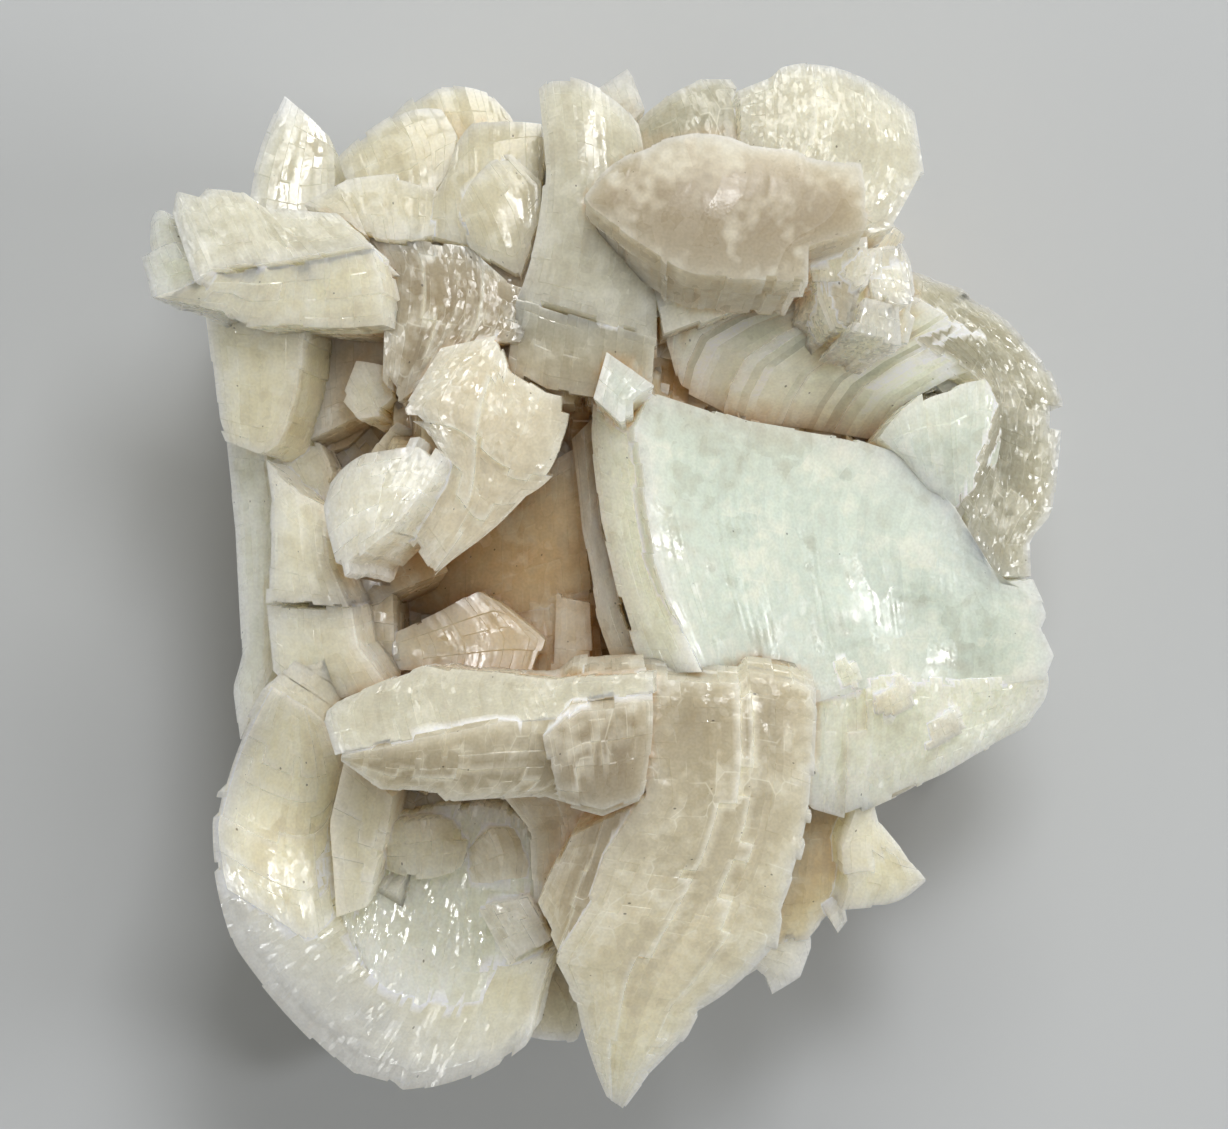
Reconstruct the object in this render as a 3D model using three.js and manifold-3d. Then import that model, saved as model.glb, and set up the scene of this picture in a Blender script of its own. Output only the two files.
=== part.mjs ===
// A thumbnail specimen of bladed saddle dolomite: curved rhombohedral crystals, grown through
// each other and cut flat below. Millimetres, +Z up, lying on the cut with the display face up:
// +X to its right and +Y to its top.
import * as THREE from 'three';
import { mergeVertices } from 'three/addons/utils/BufferGeometryUtils.js';
import Module from 'manifold-3d';

const wasm = await Module();
wasm.setup();

// Driving dimensions. The outlines below are drawn for a piece 27.9 mm wide.
const SPECIMEN_WIDTH = 27.9;
const DRAWN_WIDTH = 27.9;
const SCALE = SPECIMEN_WIDTH / DRAWN_WIDTH;
const BOX_CENTRE = [0.26, 0.06];     // middle of the drawn outline, which goes to the origin
const ARC_STEP = 2;                 // longest straight stretch on a round edge
const LEDGE_SHARE = 0.012;          // share of a face that a ledge's riser runs across, each way
const NEAREST_DIVISION = 0.03;      // divisions of a face nearer than this are made one
const SMOOTH_OFF = 0.025;           // a corner may move by this much off a face when faces are cleaned
const SLIVER = 0.004;               // a triangle thinner than this is a sliver
const CLEAN_ROUNDS = 5;
const TURN_LIMIT = 0.7;             // cosine of the most that a face may turn when it is cleaned
const NEAR_ZERO = 1e-9;
const WELD = 1e-3;                  // points nearer than this are one
const CORE_TOP = 9.2;               // height of the grown-together middle above the cut
const SIDE_SIZE = 2.9;              // half length of a blade on the flanks
const RADIATE = 0.13;               // roots lean in to the middle by this share of their distance
const WALL_RINGS = [[0.38, 0.985], [0.42, 0.92]];    // share of the way to the root, and width there
const BOWL = [-5.1, -8.1];          // lowest point of the round blade's hollow
const BELOW_CUT = [80, 80, 20];     // size of the box that takes away what is under the cut
const CORE_ROOT = 1;                // how far the middle goes on below the cut, before it is cut off

// Each crystal is a curved blade. Its face is drawn from the front as four edges, against the
// clock from the lower left corner. An edge starts at its corner, and a third number bows the
// stretch that follows outwards by so much. The face has a height above the cut at the middle of
// its points, or at "about", a slope along X and Y, and a bend along XX, XY and YY. "into"
// carries its edge back to its root, and "root" is how much narrower the root is. A ledge
// drops the face past a share of its way along U, the first edge, or V, the second.
const CRYSTALS = {
  // Round blade, lower left, a hollow shell with a stepped rim
  round_rim: {
    height: 12, about: BOWL, bend: [0.075, 0, 0.075], into: [0.9, 0.9, -3.4],
    edges: [[[-9.8, -2.6, 0.25], [-11.6, -6.9, 0.2], [-10.9, -10.7, 0.2], [-7.4, -14.5], [-6.3, -14.8],
      [-6, -15.1, 0.35]], [[-2.1, -13.5]], [[-1.4, -10.9, -1.4], [-7.2, -8.5, -0.2]], [[-8.2, -3.7]]],
  },
  round_hollow: {
    height: 12.4, about: BOWL, bend: [0.05, 0, 0.05], into: [0, 0.2, -2.5],
    edges: [[[-7.9, -9.6], [-7, -11.7, 0.1], [-5.2, -12.8, 0.1], [-3.2, -12.6]], [[-1.8, -11.4, 0.1],
      [-1.6, -9.2]], [[-1.7, -7.6, 0.2], [-3.4, -6.4], [-5, -6.5]], [[-6.8, -6.8], [-7.6, -8.2]]],
  },
  outer_band: {
    height: 12.1, about: BOWL, bend: [0.075, 0, 0.075], into: [0.6, 0.4, -3],
    edges: [[[-11.1, -9], [-9.7, -9.9], [-8.6, -10.6], [-8, -9.9]], [[-8.2, -8], [-8, -6.4], [-7.5, -5.2]],
      [[-8.3, -3.8]], [[-9.7, -2.8, 0.2], [-11.4, -7, 0.05]]],
    ledges: [['v', 0.2, 0.2], ['v', 0.55, 0.2], ['u', 0.6, -0.25]],
  },
  inner_band: {
    height: 13.5, slope: [-0.15, 0.1], into: [0.3, 0.2, -3],
    edges: [[[-7.9, -9.8]], [[-7, -9.5], [-6.5, -7.8]], [[-6.2, -6.2]], [[-7.6, -4.9], [-8.1, -7]]],
    ledges: [['v', 0.3, 0.3], ['v', 0.65, 0.25]],
  },
  hollow_knob: {
    height: 12.9, bend: [-0.2, 0, -0.25], into: [0, 0, -2],
    edges: [[[-6.6, -8.3, 0.1], [-5.4, -8.7, 0.1]], [[-4.1, -8.3, 0.1]], [[-3.9, -7, 0.25],
      [-6, -6.9, 0.1]], [[-6.7, -7.5]]],
  },
  hollow_scale: {
    height: 12.8, slope: [0.2, 0], bend: [-0.2, 0, -0.15], into: [0, 0, -2.2],
    edges: [[[-3.9, -8.8, 0.1]], [[-2, -8.6, 0.1], [-1.8, -7.6]], [[-2.4, -6.9, 0.1], [-3.6, -6.6, 0.1]],
      [[-4.3, -7.8]]],
  },
  end_block: {
    height: 13.1, slope: [0.3, -0.25], into: [0, 0, -3],
    edges: [[[-2.7, -11.3]], [[-1.4, -10.5]], [[-2.2, -9.2]], [[-3.7, -9.5]]],
    ledges: [['u', 0.35, 0.3], ['u', 0.7, 0.3]],
  },
  gap_blade: {
    height: 11.4, slope: [0.1, 0.1], into: [0, 1.2, -4], root: 0.9,
    edges: [[[-2.2, -13.5, 0.1], [-0.7, -13.6]], [[-0.5, -13.1], [-0.9, -11.9]], [[-1.5, -11.1]],
      [[-2.5, -11.3]]],
  },

  // Fan blade, lower middle, with growth lines that run down to its tip
  fan_blade: {
    height: 16.1, slope: [-0.02, 0.24], bend: [-0.035, 0.02, -0.03], into: [0.2, 0.8, -3.2],
    edges: [[[0.2, -15.2]], [[0.7, -15.6], [1.5, -14.5], [2.6, -13.4], [3, -12.6, 0.1], [4.7, -11.4],
      [5.3, -10.8], [5.5, -9.5, 0.1], [6.4, -6.2]], [[6.6, -3], [5.7, -2.6], [4.4, -2.4], [4.2, -2.7],
      [1.6, -2.5]], [[0.5, -2.6], [1.3, -6.1], [0, -8.1], [-0.4, -9.3], [-1.5, -11], [-0.8, -12.2, 0.1]]],
    ledges: [['u', 0.42, -0.35], ['u', 0.68, -0.3]],
  },
  fan_leaf: {
    height: 15.5, slope: [0.1, 0.2], bend: [0, 0, -0.03], into: [0.4, 0.4, -3],
    edges: [[[-1.9, -9.3], [-1.2, -10.9]], [[0, -9.8], [0.9, -8.3]], [[1.5, -6.2], [0, -6.7]],
      [[-0.9, -7.3]]],
    ledges: [['u', 0.5, 0.3]],
  },
  leaf_foot: {
    height: 13.5, slope: [0.2, 0.1], into: [0, 0.2, -3],
    edges: [[[-2, -9.5]], [[-0.3, -8.2]], [[0.2, -6]], [[-3.3, -5.9], [-2.1, -7.3]]],
    ledges: [['u', 0.5, 0.3]],
  },

  // Shelf blade across the middle: a bright top strip and a greyer front below its crest
  shelf_top: {
    height: 18.1, slope: [0.02, -0.95], into: [0.3, -0.2, -3.2],
    edges: [[[-7.9, -4.9], [-6, -4.5], [-3, -3.9], [-1.3, -3.8], [-0.8, -3.3]], [[1.6, -3.1]],
      [[1.6, -2.4], [-1.2, -2.6], [-4.3, -2.3], [-5, -2.1]], [[-7.7, -3.2], [-8.3, -3.7], [-8.1, -4.3]]],
  },
  shelf_front: {
    height: 18.5, slope: [0.02, 0.4], bend: [-0.025, 0, -0.06], into: [0, 1, -3.4],
    edges: [[[-7.7, -5], [-6.5, -5.9], [-4.8, -6], [-4.5, -6.3], [-1.9, -6.1], [-1, -6.4]], [[0.1, -6.7],
      [1.3, -6.2, 0.1]], [[1.6, -3.1], [-0.8, -3.3], [-1.3, -3.8], [-3, -3.9], [-6, -4.5]],
      [[-7.7, -4.9]]],
    ledges: [['v', 0.45, 0.2]],
  },
  shelf_end: {
    height: 18.6, about: [-3, -5.15], slope: [0.02, 0.4], bend: [-0.025, 0, -0.06], into: [0, 1, -3],
    edges: [[[-1.3, -6.2], [0.1, -6.6]], [[1.3, -6.1, 0.1]], [[1.6, -3.2], [-0.6, -3.4]], [[-1.7, -4.4]]],
  },

  // Big pale crystal, right: a long ridge, with a broad face that falls away from it
  broad_face: {
    height: 12.9, slope: [-0.5, -0.03], bend: [0.02, 0.015, -0.025], into: [-0.6, 0.3, -4],
    edges: [[[3.1, -2.5], [4.5, -3.6], [6.6, -3.4], [8.4, -2.8, -0.1], [10.8, -3]], [[13.5, -2.7],
      [13.8, -2], [13.4, -1.2], [13.6, -0.8]], [[13.1, 0.4], [12.1, 0.2], [10.7, 2.5], [9.1, 4.1],
      [7.5, 4.6], [4.4, 5.1]], [[1.6, 6], [1, 4.8], [1.2, 3.3], [1.6, 0.9], [2, -0.3]]],
  },
  ridge_facet: {
    height: 15.2, slope: [0.75, 0.08], into: [0.8, 0, -6],
    edges: [[[1.3, -2.6]], [[3.1, -2.5], [2, -0.3], [1.6, 0.9], [1.2, 3.3]], [[1.1, 4.9]], [[-0.2, 5.7],
      [-0.3, 4.7], [0, 2.1], [0.5, 0], [1, -1.7]]],
  },
  side_facet: {
    height: 13.3, slope: [1.3, 0.1], into: [0.8, 0, -5],
    edges: [[[0.5, -2.5]], [[1.3, -2.6], [0.5, 0], [0, 2.1]], [[-0.2, 5.2]], [[-0.9, 4.5], [-0.6, 2.1],
      [-0.1, -0.9]]],
  },
  apex_rhomb: {
    height: 16.4, slope: [0.1, -0.2], into: [0.3, -0.2, -4],
    edges: [[[-0.2, 5.7], [0.6, 5]], [[1, 5.1], [1, 5.7]], [[1.6, 6.1]], [[0.2, 7.1]]],
  },
  lower_facet: {
    height: 11.1, slope: [-0.45, 0.42], bend: [0, 0, -0.04], into: [-0.4, 0.4, -5],
    edges: [[[5.6, -5.6], [6.4, -6.6], [7.4, -6.9], [8.4, -6.5], [10.4, -5.6], [12.1, -4.6]],
      [[12.9, -4.2], [13.3, -3.6, 0.15]], [[13.6, -2.5], [10.8, -2.7], [8.4, -2.5]], [[5, -3]]],
    ledges: [['u', 0.3, 0.3], ['u', 0.6, -0.3]],
  },

  // Plates up and to the right of it
  striated_wall: {
    height: 12.2, slope: [-0.2, 0.75], bend: [0, 0, -0.06], into: [0, 0.5, -6],
    edges: [[[2, 7.4], [2.4, 6], [4.4, 5], [6, 4.9]], [[8.4, 4.5], [9.2, 5.6], [11, 6.6]], [[12.2, 7.3],
      [9.5, 8.8]], [[5, 9.2], [1.9, 8.8]]],
    ledges: [['u', 0.2, -0.3], ['u', 0.4, 0.3], ['u', 0.6, -0.3], ['u', 0.8, 0.3]],
  },
  outer_plate: {
    height: 11.2, slope: [-0.3, 0.1], into: [-0.6, -0.2, -3.4],
    edges: [[[10.5, 2.6], [12, 0.3]], [[13.05, 0.3], [13, 1.5], [13.7, 2.3], [13.8, 3.2], [14, 5.7],
      [13.5, 6.9], [12.3, 8.1]], [[10.8, 9.15], [9.3, 9.6]], [[9.3, 7.5], [11.2, 6.4], [12, 5.6],
      [11.5, 4.4]]],
  },
  rounded_rhomb: {
    height: 11.8, slope: [-0.3, 0.15], bend: [-0.06, 0, -0.04], into: [0, 0, -4],
    edges: [[[9.1, 4], [9.9, 3], [10.7, 2.5]], [[12, 3.9]], [[12.3, 5.7, 0.15], [11.6, 6.5, 0.1],
      [9.8, 6, 0.1]], [[8.4, 4.6]]],
  },

  // Crystals along the top, right to left
  lens_blade: {
    height: 18.2, slope: [-0.03, -0.06], bend: [-0.03, 0, -0.12], into: [0.2, 0.2, -2.6],
    edges: [[[-0.3, 11.4], [0.9, 10.4], [1.8, 9.8, 0.1], [2.9, 9.2]], [[6.2, 9.1], [6.2, 10.2],
      [7.9, 10.7, 0.1]], [[7.8, 12.8], [4.4, 13.2, 0.2], [2.4, 13.5, 0.2]], [[0, 12.3], [-0.5, 11.7]]],
  },
  under_lens: {
    height: 15.2, slope: [-0.1, 0.2], into: [0, 0.3, -5],
    edges: [[[1.9, 7.5], [4, 8.3]], [[8, 9.4]], [[7.6, 12.6]], [[0.9, 12.7], [1.4, 9.7]]],
  },
  smoky_dome: {
    height: 14.9, slope: [0, -0.5], bend: [-0.14, 0, -0.1], into: [0.1, -0.4, -3.8],
    edges: [[[1.2, 12.8]], [[4.5, 13.1], [4.3, 14.7]], [[3.9, 15.3], [3, 15.3, 0.15]], [[1, 13.9]]],
  },
  top_right: {
    height: 15.6, slope: [-0.25, -0.3], bend: [-0.07, 0, -0.07], into: [-0.5, -0.4, -4.2],
    edges: [[[4.2, 13]], [[8, 10.6], [8.8, 10.8], [9.2, 11.5], [9.7, 12.4]], [[9.4, 14.3, 0.15],
      [7.2, 15.6, 0.15], [5.4, 15.6], [5.1, 15.3]], [[4.1, 14.9]]],
    ledges: [['u', 0.45, -0.35]],
  },
  broken_corner: {
    height: 15, slope: [-0.35, 0.25], into: [-0.2, 0, -4.6],
    edges: [[[6.8, 7.8], [8, 7.4]], [[9.2, 7.2], [9.6, 8.7]], [[9.4, 9.6], [9, 10.4], [8.8, 10.8]],
      [[6.2, 10.3], [6.4, 8.7]]],
    ledges: [['v', 0.5, 0.4], ['u', 0.55, -0.4]],
  },
  top_rhomb: {
    height: 13, slope: [0.1, -0.3], into: [0, -0.6, -4],
    edges: [[[0.3, 14.4]], [[1, 14], [1.4, 14.4]], [[1, 15.4], [0.8, 15.7]], [[-0.2, 15]]],
  },
  column: {
    height: 16.4, slope: [-0.05, -0.04], bend: [-0.16, 0.02, -0.05], into: [0.2, -0.3, -4],
    edges: [[[-2.5, 8.7], [0, 8]], [[1.7, 7.5, 0.1], [1.4, 11.7, 0.1]], [[1.2, 13.8, 0.15],
      [-0.3, 15.1, 0.1], [-1.5, 15.3]], [[-1.9, 14.9], [-1.7, 12.7, -0.2]]],
  },
  column_foot: {
    height: 15.3, slope: [-0.1, 0.35], bend: [-0.1, 0, 0], into: [0.2, 0.4, -5],
    edges: [[[-2.8, 6.6], [-1.6, 5.9], [-0.2, 5.7]], [[1.6, 6.1]], [[1.7, 7.5], [0, 8]], [[-2.5, 8.8]]],
  },
  petal_back: {
    height: 11.9, slope: [0, -0.35], bend: [-0.06, 0, -0.06], into: [0, -0.6, -3.6],
    edges: [[[-5.4, 12.2], [-3.6, 12]], [[-2.1, 13.2]], [[-2.7, 14.3], [-3.3, 15, 0.1], [-5, 15.3, 0.1]],
      [[-6.4, 14.1]]],
  },
  petal_left: {
    height: 13.2, slope: [0, -0.3], bend: [-0.06, 0, -0.06], into: [0.3, -0.4, -3.8],
    edges: [[[-7.3, 11.2], [-5.4, 11.2]], [[-4.5, 12.5], [-4.3, 13.7]], [[-4.8, 14.5, 0.1],
      [-6, 14.4, 0.1]], [[-7.9, 13]]],
  },
  petal_mid: {
    height: 14.4, slope: [0.1, -0.3], bend: [-0.06, 0, -0.06], into: [0.1, -0.3, -4.5],
    edges: [[[-5.1, 10.6], [-3.9, 10.3]], [[-1.7, 12.2]], [[-1.7, 14, 0.1], [-3.8, 14, 0.15]],
      [[-4.5, 12.6], [-5, 11.7]]],
  },
  petal_inner: {
    height: 15.1, slope: [0, -0.15], bend: [-0.15, 0, -0.08], into: [0, 0, -4],
    edges: [[[-3.9, 10.2], [-2.4, 9.2]], [[-1.8, 11], [-1.7, 12.2]], [[-2.6, 13, 0.15], [-3.6, 12.6, 0.1]],
      [[-4.2, 11.4]]],
  },
  petal_low: {
    height: 14.2, slope: [0.05, -0.45], into: [0, 0, -4],
    edges: [[[-7.8, 11.2], [-7, 10.6], [-6, 10.4]], [[-4.9, 10.6]], [[-4.6, 12], [-6, 12.5], [-7.7, 12.3]],
      [[-9, 11.5]]],
  },
  left_wedge: {
    height: 12.9, slope: [-0.1, -0.2], bend: [-0.06, 0, 0], into: [0.4, -0.9, -4.5],
    edges: [[[-10.6, 11.5], [-9, 11.2]], [[-7.8, 11.7], [-7.9, 13.2]], [[-8.1, 13.6], [-8.7, 14.2]],
      [[-9.5, 14.9, 0.1], [-10.5, 12.2]]],
  },

  // Left hand block, lying across the cluster with a broken end
  block_top: {
    height: 16.9, slope: [0.04, -0.65], into: [0.4, 0.1, -3.6],
    edges: [[[-12, 9.1], [-11.5, 9.5], [-10.2, 9.6], [-8.1, 10]], [[-6.8, 10.3]], [[-7.8, 11.2],
      [-10, 11.4], [-10.6, 11.9], [-11.7, 12], [-11.9, 11.7], [-12.6, 11.9]], [[-12.7, 11.2]]],
  },
  block_end: {
    height: 15.9, slope: [0.75, -0.1], into: [0.9, 0, -3.6],
    edges: [[[-13.3, 8.7]], [[-12, 9.1], [-11.5, 9.5]], [[-12.7, 11.3], [-13.2, 11.4]], [[-13.5, 10.8],
      [-13.7, 10.1]]],
    ledges: [['v', 0.5, -0.3]],
  },
  block_front: {
    height: 16.7, slope: [0.06, 0.5], bend: [-0.02, 0, 0], into: [0.2, 0.6, -4],
    edges: [[[-13.3, 8.7], [-12.9, 8.6], [-11.2, 8.3], [-10.8, 7.8], [-7.6, 7.7]], [[-6.3, 7.8, 0.1]],
      [[-6.8, 10.3], [-8.1, 10], [-10.2, 9.6], [-11.5, 9.4]], [[-12, 9.1]]],
    ledges: [['v', 0.5, 0.18]],
  },

  // Left flank, seen past the pocket
  left_wall: {
    height: 14, slope: [0.2, 0.12], bend: [-0.05, 0, 0], into: [0.7, 0, -5],
    edges: [[[-11.2, 4.4], [-10.2, 4]], [[-9.6, 4.4, 0.1], [-8.9, 6.3]], [[-8.8, 8]], [[-11.9, 8.3],
      [-11.5, 5.1]]],
  },
  left_recess: {
    height: 11, slope: [-0.2, 0.2], into: [0, 0, -4],
    edges: [[[-9.2, 3.8], [-7.6, 4.2]], [[-6.1, 5.7]], [[-6.2, 8]], [[-9.1, 7.9]]],
  },
  left_strip: {
    height: 11.3, slope: [0.3, 0], into: [1.1, 0, -6],
    edges: [[[-10.9, -4.6], [-9.9, -2.5]], [[-9.6, -1.8], [-9.7, 2]], [[-10, 4.3]], [[-11.3, 4.7],
      [-11, 1.8], [-10.8, -2], [-11.1, -3]]],
  },
  mid_blade: {
    height: 13.9, slope: [0.15, -0.1], bend: [-0.08, 0, 0], into: [0.4, 0, -4.5],
    edges: [[[-10, -0.4]], [[-7.4, -0.5], [-8, 0.8]], [[-8.2, 2.5], [-9, 2.9]], [[-10.1, 4], [-9.9, 2.7]]],
  },
  mid_foot: {
    height: 13.6, slope: [0.15, 0.2], bend: [-0.08, 0, 0], into: [0.3, 0.3, -4.5],
    edges: [[[-9.8, -2.5], [-9.2, -3.1], [-8.4, -3.5]], [[-6.4, -2.8], [-7.2, -1.7]], [[-7.4, -0.5]],
      [[-10, -0.4]]],
  },
  nook_crystal: {
    height: 11.8, slope: [-0.1, 0.1], into: [0, 0, -3.5],
    edges: [[[-9.5, 3.1], [-8.2, 2.5]], [[-8, 3.6]], [[-8.4, 4.4, 0.1], [-9.3, 4.4]], [[-10, 4]]],
  },

  // Blades over the pocket, in the middle
  stepped_blade: {
    height: 15.1, slope: [0.1, -0.1], bend: [-0.03, 0, -0.05], into: [0, 0.2, -4.5],
    edges: [[[-6.5, 6.3], [-6, 5.6], [-4.8, 6.5]], [[-3.6, 7.4], [-2.3, 7.4]], [[-1.9, 9], [-2.8, 9.3],
      [-3.9, 10.3]], [[-7, 10.7], [-6.4, 9.8]]],
    ledges: [['u', 0.35, 0.3], ['u', 0.65, 0.3]],
  },
  curved_blade: {
    height: 16, slope: [-0.12, 0.1], bend: [-0.06, 0.03, -0.04], into: [-0.2, 0.7, -3],
    edges: [[[-5.8, 1.4], [-5.1, 0.3]], [[-4.3, 1, 0.1], [-2.2, 2.8, 0.25], [-0.9, 4.4, 0.1]],
      [[-0.7, 5.7], [-1.6, 5.9], [-2.7, 6.6], [-3, 7.6]], [[-4.8, 7.2], [-6, 5.3], [-5.2, 4.8], [-4.7, 4],
      [-5.1, 2.3]]],
    ledges: [['v', 0.4, 0.25]],
  },
  white_blade: {
    height: 17.2, slope: [0.12, -0.12], bend: [-0.07, 0, -0.05], into: [0.3, -0.2, -2.8],
    edges: [[[-7.7, 0.3], [-6.9, 0.8, 0.05]], [[-5.1, 2.3], [-4.8, 3.3]], [[-4.5, 4], [-5.1, 4.7],
      [-7.1, 4.8, 0.15]], [[-8, 3.6], [-8.2, 2.5], [-8.1, 1.8]]],
    ledges: [['v', 0.5, -0.2], ['u', 0.5, -0.2]],
  },
  small_rhomb: {
    height: 13.8, slope: [0.2, -0.1], into: [0.2, 0, -3.5],
    edges: [[[-7.3, 5.1], [-6.4, 5.2]], [[-6.1, 5.7]], [[-6.3, 6.7], [-7.3, 6.9]], [[-7.8, 5.6]]],
  },

  // Floor and walls of the pocket
  pocket_rhomb: {
    height: 10.9, slope: [-0.05, -0.3], into: [0, 0, -3],
    edges: [[[-6.2, -2.4]], [[-2, -2.6], [-1.6, -1.5]], [[-3, -0.4], [-3.7, 0], [-4.8, -0.6]],
      [[-6.4, -1.4]]],
  },
  pocket_bands: {
    height: 11.7, slope: [-0.4, 0], into: [0, 0, -3.5],
    edges: [[[-7.5, -2.4]], [[-6.2, -2.4]], [[-6.2, 0.3]], [[-8, 0.6]]],
    ledges: [['v', 0.5, 0.25]],
  },
  pocket_prism: {
    height: 9.9, slope: [0.3, -0.2], into: [0, 0, -3],
    edges: [[[-1.5, -2.7]], [[0.1, -2.5]], [[-0.1, 0]], [[-1.5, -0.3]]],
  },
  pocket_wall: {
    height: 10.1, slope: [0.1, 0.4], into: [0, 0, -3],
    edges: [[[-6.7, -1.7], [-3, -0.8]], [[-0.2, -0.3]], [[-0.6, 4.4], [-2.5, 3.2]], [[-6.4, 1.4]]],
  },

  // Small crystals at the lower right corner
  corner_rhomb: {
    height: 10.4, slope: [-0.15, 0.1], bend: [-0.05, 0, -0.05], into: [-0.4, 0.3, -4],
    edges: [[[7.2, -9.7], [8.6, -9.6, 0.05]], [[9.4, -9.2], [9.9, -8.8]], [[9.1, -7.8], [8.4, -6.9],
      [8.3, -6.3]], [[7.7, -6.7], [7.3, -7.8], [7.4, -9.1]]],
    ledges: [['v', 0.5, 0.25]],
  },
  corner_wall: {
    height: 9.2, slope: [0.1, 0.15], into: [-0.5, 0.8, -4.5],
    edges: [[[5.2, -10.8], [6.3, -10.6], [6.8, -10]], [[7.2, -9.7], [7.5, -9.1]], [[7.3, -6.7]],
      [[6.1, -6.5]]],
  },
  corner_low: {
    height: 8.6, slope: [0.05, 0.1], into: [-0.4, 0.9, -3.5],
    edges: [[[5.2, -12.4], [6.1, -11.9]], [[6.4, -11], [6.4, -10.4]], [[5.2, -10.6]], [[4.6, -11.4],
      [5, -11.8]]],
  },
  corner_tip: {
    height: 9.6, slope: [0, 0], into: [-0.3, 0.6, -2.4],
    edges: [[[7.2, -10.4]], [[7.5, -10]], [[7.4, -9.4]], [[6.9, -9.9]]],
  },

  // Masses under the raised blades, which join them to the middle
  upper_mass: {
    height: 12.6, into: [0, 0, -4],
    edges: [[[-7, 7.6], [1, 8.6]], [[7.6, 8.4]], [[7, 12.6], [-1, 13]], [[-7.8, 11.4]]],
  },
  lower_mass: {
    height: 12.2, slope: [0, 0.1], into: [0, 0, -4],
    edges: [[[-1.4, -11.2], [1, -12.4]], [[4.8, -9.4]], [[5.4, -3.4]], [[-0.6, -3.4]]],
  },
  shelf_mass: {
    height: 14.4, into: [0, 0, -6],
    edges: [[[-7, -5]], [[0.8, -5.6]], [[1.2, -3.2]], [[-7, -3.2]]],
  },
  right_mass: {
    height: 9.6, slope: [-0.4, 0], into: [0, 0, -4],
    edges: [[[2, -4]], [[10, -4]], [[10, 4.6]], [[2, 6]]],
  },
  left_mass: {
    height: 12.2, into: [0, 0, -4],
    edges: [[[-9.4, 4.2]], [[-5.2, 6.2]], [[-4, 9.4]], [[-10.4, 10]]],
  },
};

// Outline of the grown-together middle, and the number of blades on the flanks at each height
const CORE_OUTLINE = [[10.7, -3.2], [11.2, 0.6], [11, 5.2], [8.2, 7.6], [7.4, 12], [3.8, 12.8], [-1, 12.6],
  [-5.2, 12], [-8.2, 11], [-10.2, 9], [-9.3, 5], [-8.8, 0], [-8.6, -4], [-9.2, -8], [-7.5, -10.9],
  [-4.2, -12], [0.1, -11.8], [3.3, -10.1], [6.1, -7.7]];
const FLANK_TIERS = [
  { blades: 17, height: 2.2, turn: 0.1, out: 0.5 },
  { blades: 15, height: 5.8, turn: 0.55, out: 0.8 },
  { blades: 13, height: 9.2, turn: 0.3, out: 0.1 },
];
const FLANK_CORNERS = [[-1, -1, 0.2], [0.8, -0.9, 0.15], [1, 1, 0.2], [-0.9, 0.8, 0.1]];   // shares, and bow
const FLANK_LEDGES = [['u', 0.45, -0.35], ['v', 0.55, -0.35]];
const FLANK_BLADE = { slope: [0.1, 0], bend: [-0.05, 0.02, -0.06], into: [0, 0, -3.4], radiate: 0 };
const SIZE_SPREAD = 0.22;           // share by which flank blades differ in size, and in height
const HEIGHT_SPREAD = 0.2;
const HEIGHT_SHARE = 0.9;
const SINK = 0.3;                   // the flank blades stand lower to the right, under the broad face
const SINK_FROM = 4;
const TILT_BY_TURN = [12, -20, 28, -8, 18, -26, 4];      // degrees that each flank blade leans
const TWIST_SHARE = 1.5;            // its twist in its own plane, as a share of its lean
const NOD_SHARE = 0.8;              // and how far it nods

const stone = new THREE.MeshStandardMaterial({ color: 0xd9cfba, roughness: 0.45, metalness: 0 });

// Points on an edge at even steps of arc: straight stretches keep their ends only
function edgePoints(edge, next) {
  const points = [];
  const shares = [];
  const ends = [...edge, next];
  edge.forEach((start, i) => {
    const [x0, y0, bow = 0] = start;
    const [x1, y1] = ends[i + 1];
    const length = Math.hypot(x1 - x0, y1 - y0);
    const pieces = bow ? Math.max(2, Math.round(length / ARC_STEP)) : 1;
    for (let k = 0; k < pieces; k += 1) {
      const t = k / pieces;
      const out = 4 * bow * t * (1 - t) / length;
      points.push([x0 + (x1 - x0) * t + (y1 - y0) * out, y0 + (y1 - y0) * t - (x1 - x0) * out]);
    }
  });
  points.push([next[0], next[1]]);
  let run = 0;
  points.forEach((p, i) => {
    if (i) run += Math.hypot(p[0] - points[i - 1][0], p[1] - points[i - 1][1]);
    shares.push(run);
  });
  return { points, shares: shares.map((s) => s / run) };
}

// The point at a share of the way along an edge
function along({ points, shares }, share) {
  const i = Math.min(Math.max(shares.findIndex((s) => s >= share - NEAR_ZERO), 1), points.length - 1);
  const t = Math.min(Math.max((share - shares[i - 1]) / (shares[i] - shares[i - 1]), 0), 1);
  return [0, 1].map((k) => points[i - 1][k] + (points[i][k] - points[i - 1][k]) * t);
}

// Shares at which a face is divided: the corners of two facing edges and the risers of ledges
function divisions(a, b, ledges, axis) {
  const wanted = [...a.shares, ...b.shares.map((s) => 1 - s)];
  const steps = ledges.filter((l) => l[0] === axis).flatMap((l) => [l[1] - LEDGE_SHARE, l[1] + LEDGE_SHARE]);
  const clear = wanted.filter((s) => steps.every((q) => Math.abs(s - q) > NEAREST_DIVISION));
  const kept = [0];
  [...clear, ...steps].sort((p, q) => p - q).forEach((s) => {
    const gap = steps.includes(s) ? LEDGE_SHARE : NEAREST_DIVISION;
    if (s - kept[kept.length - 1] > gap && 1 - s > gap) kept.push(s);
  });
  return [...kept, 1];
}

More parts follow.
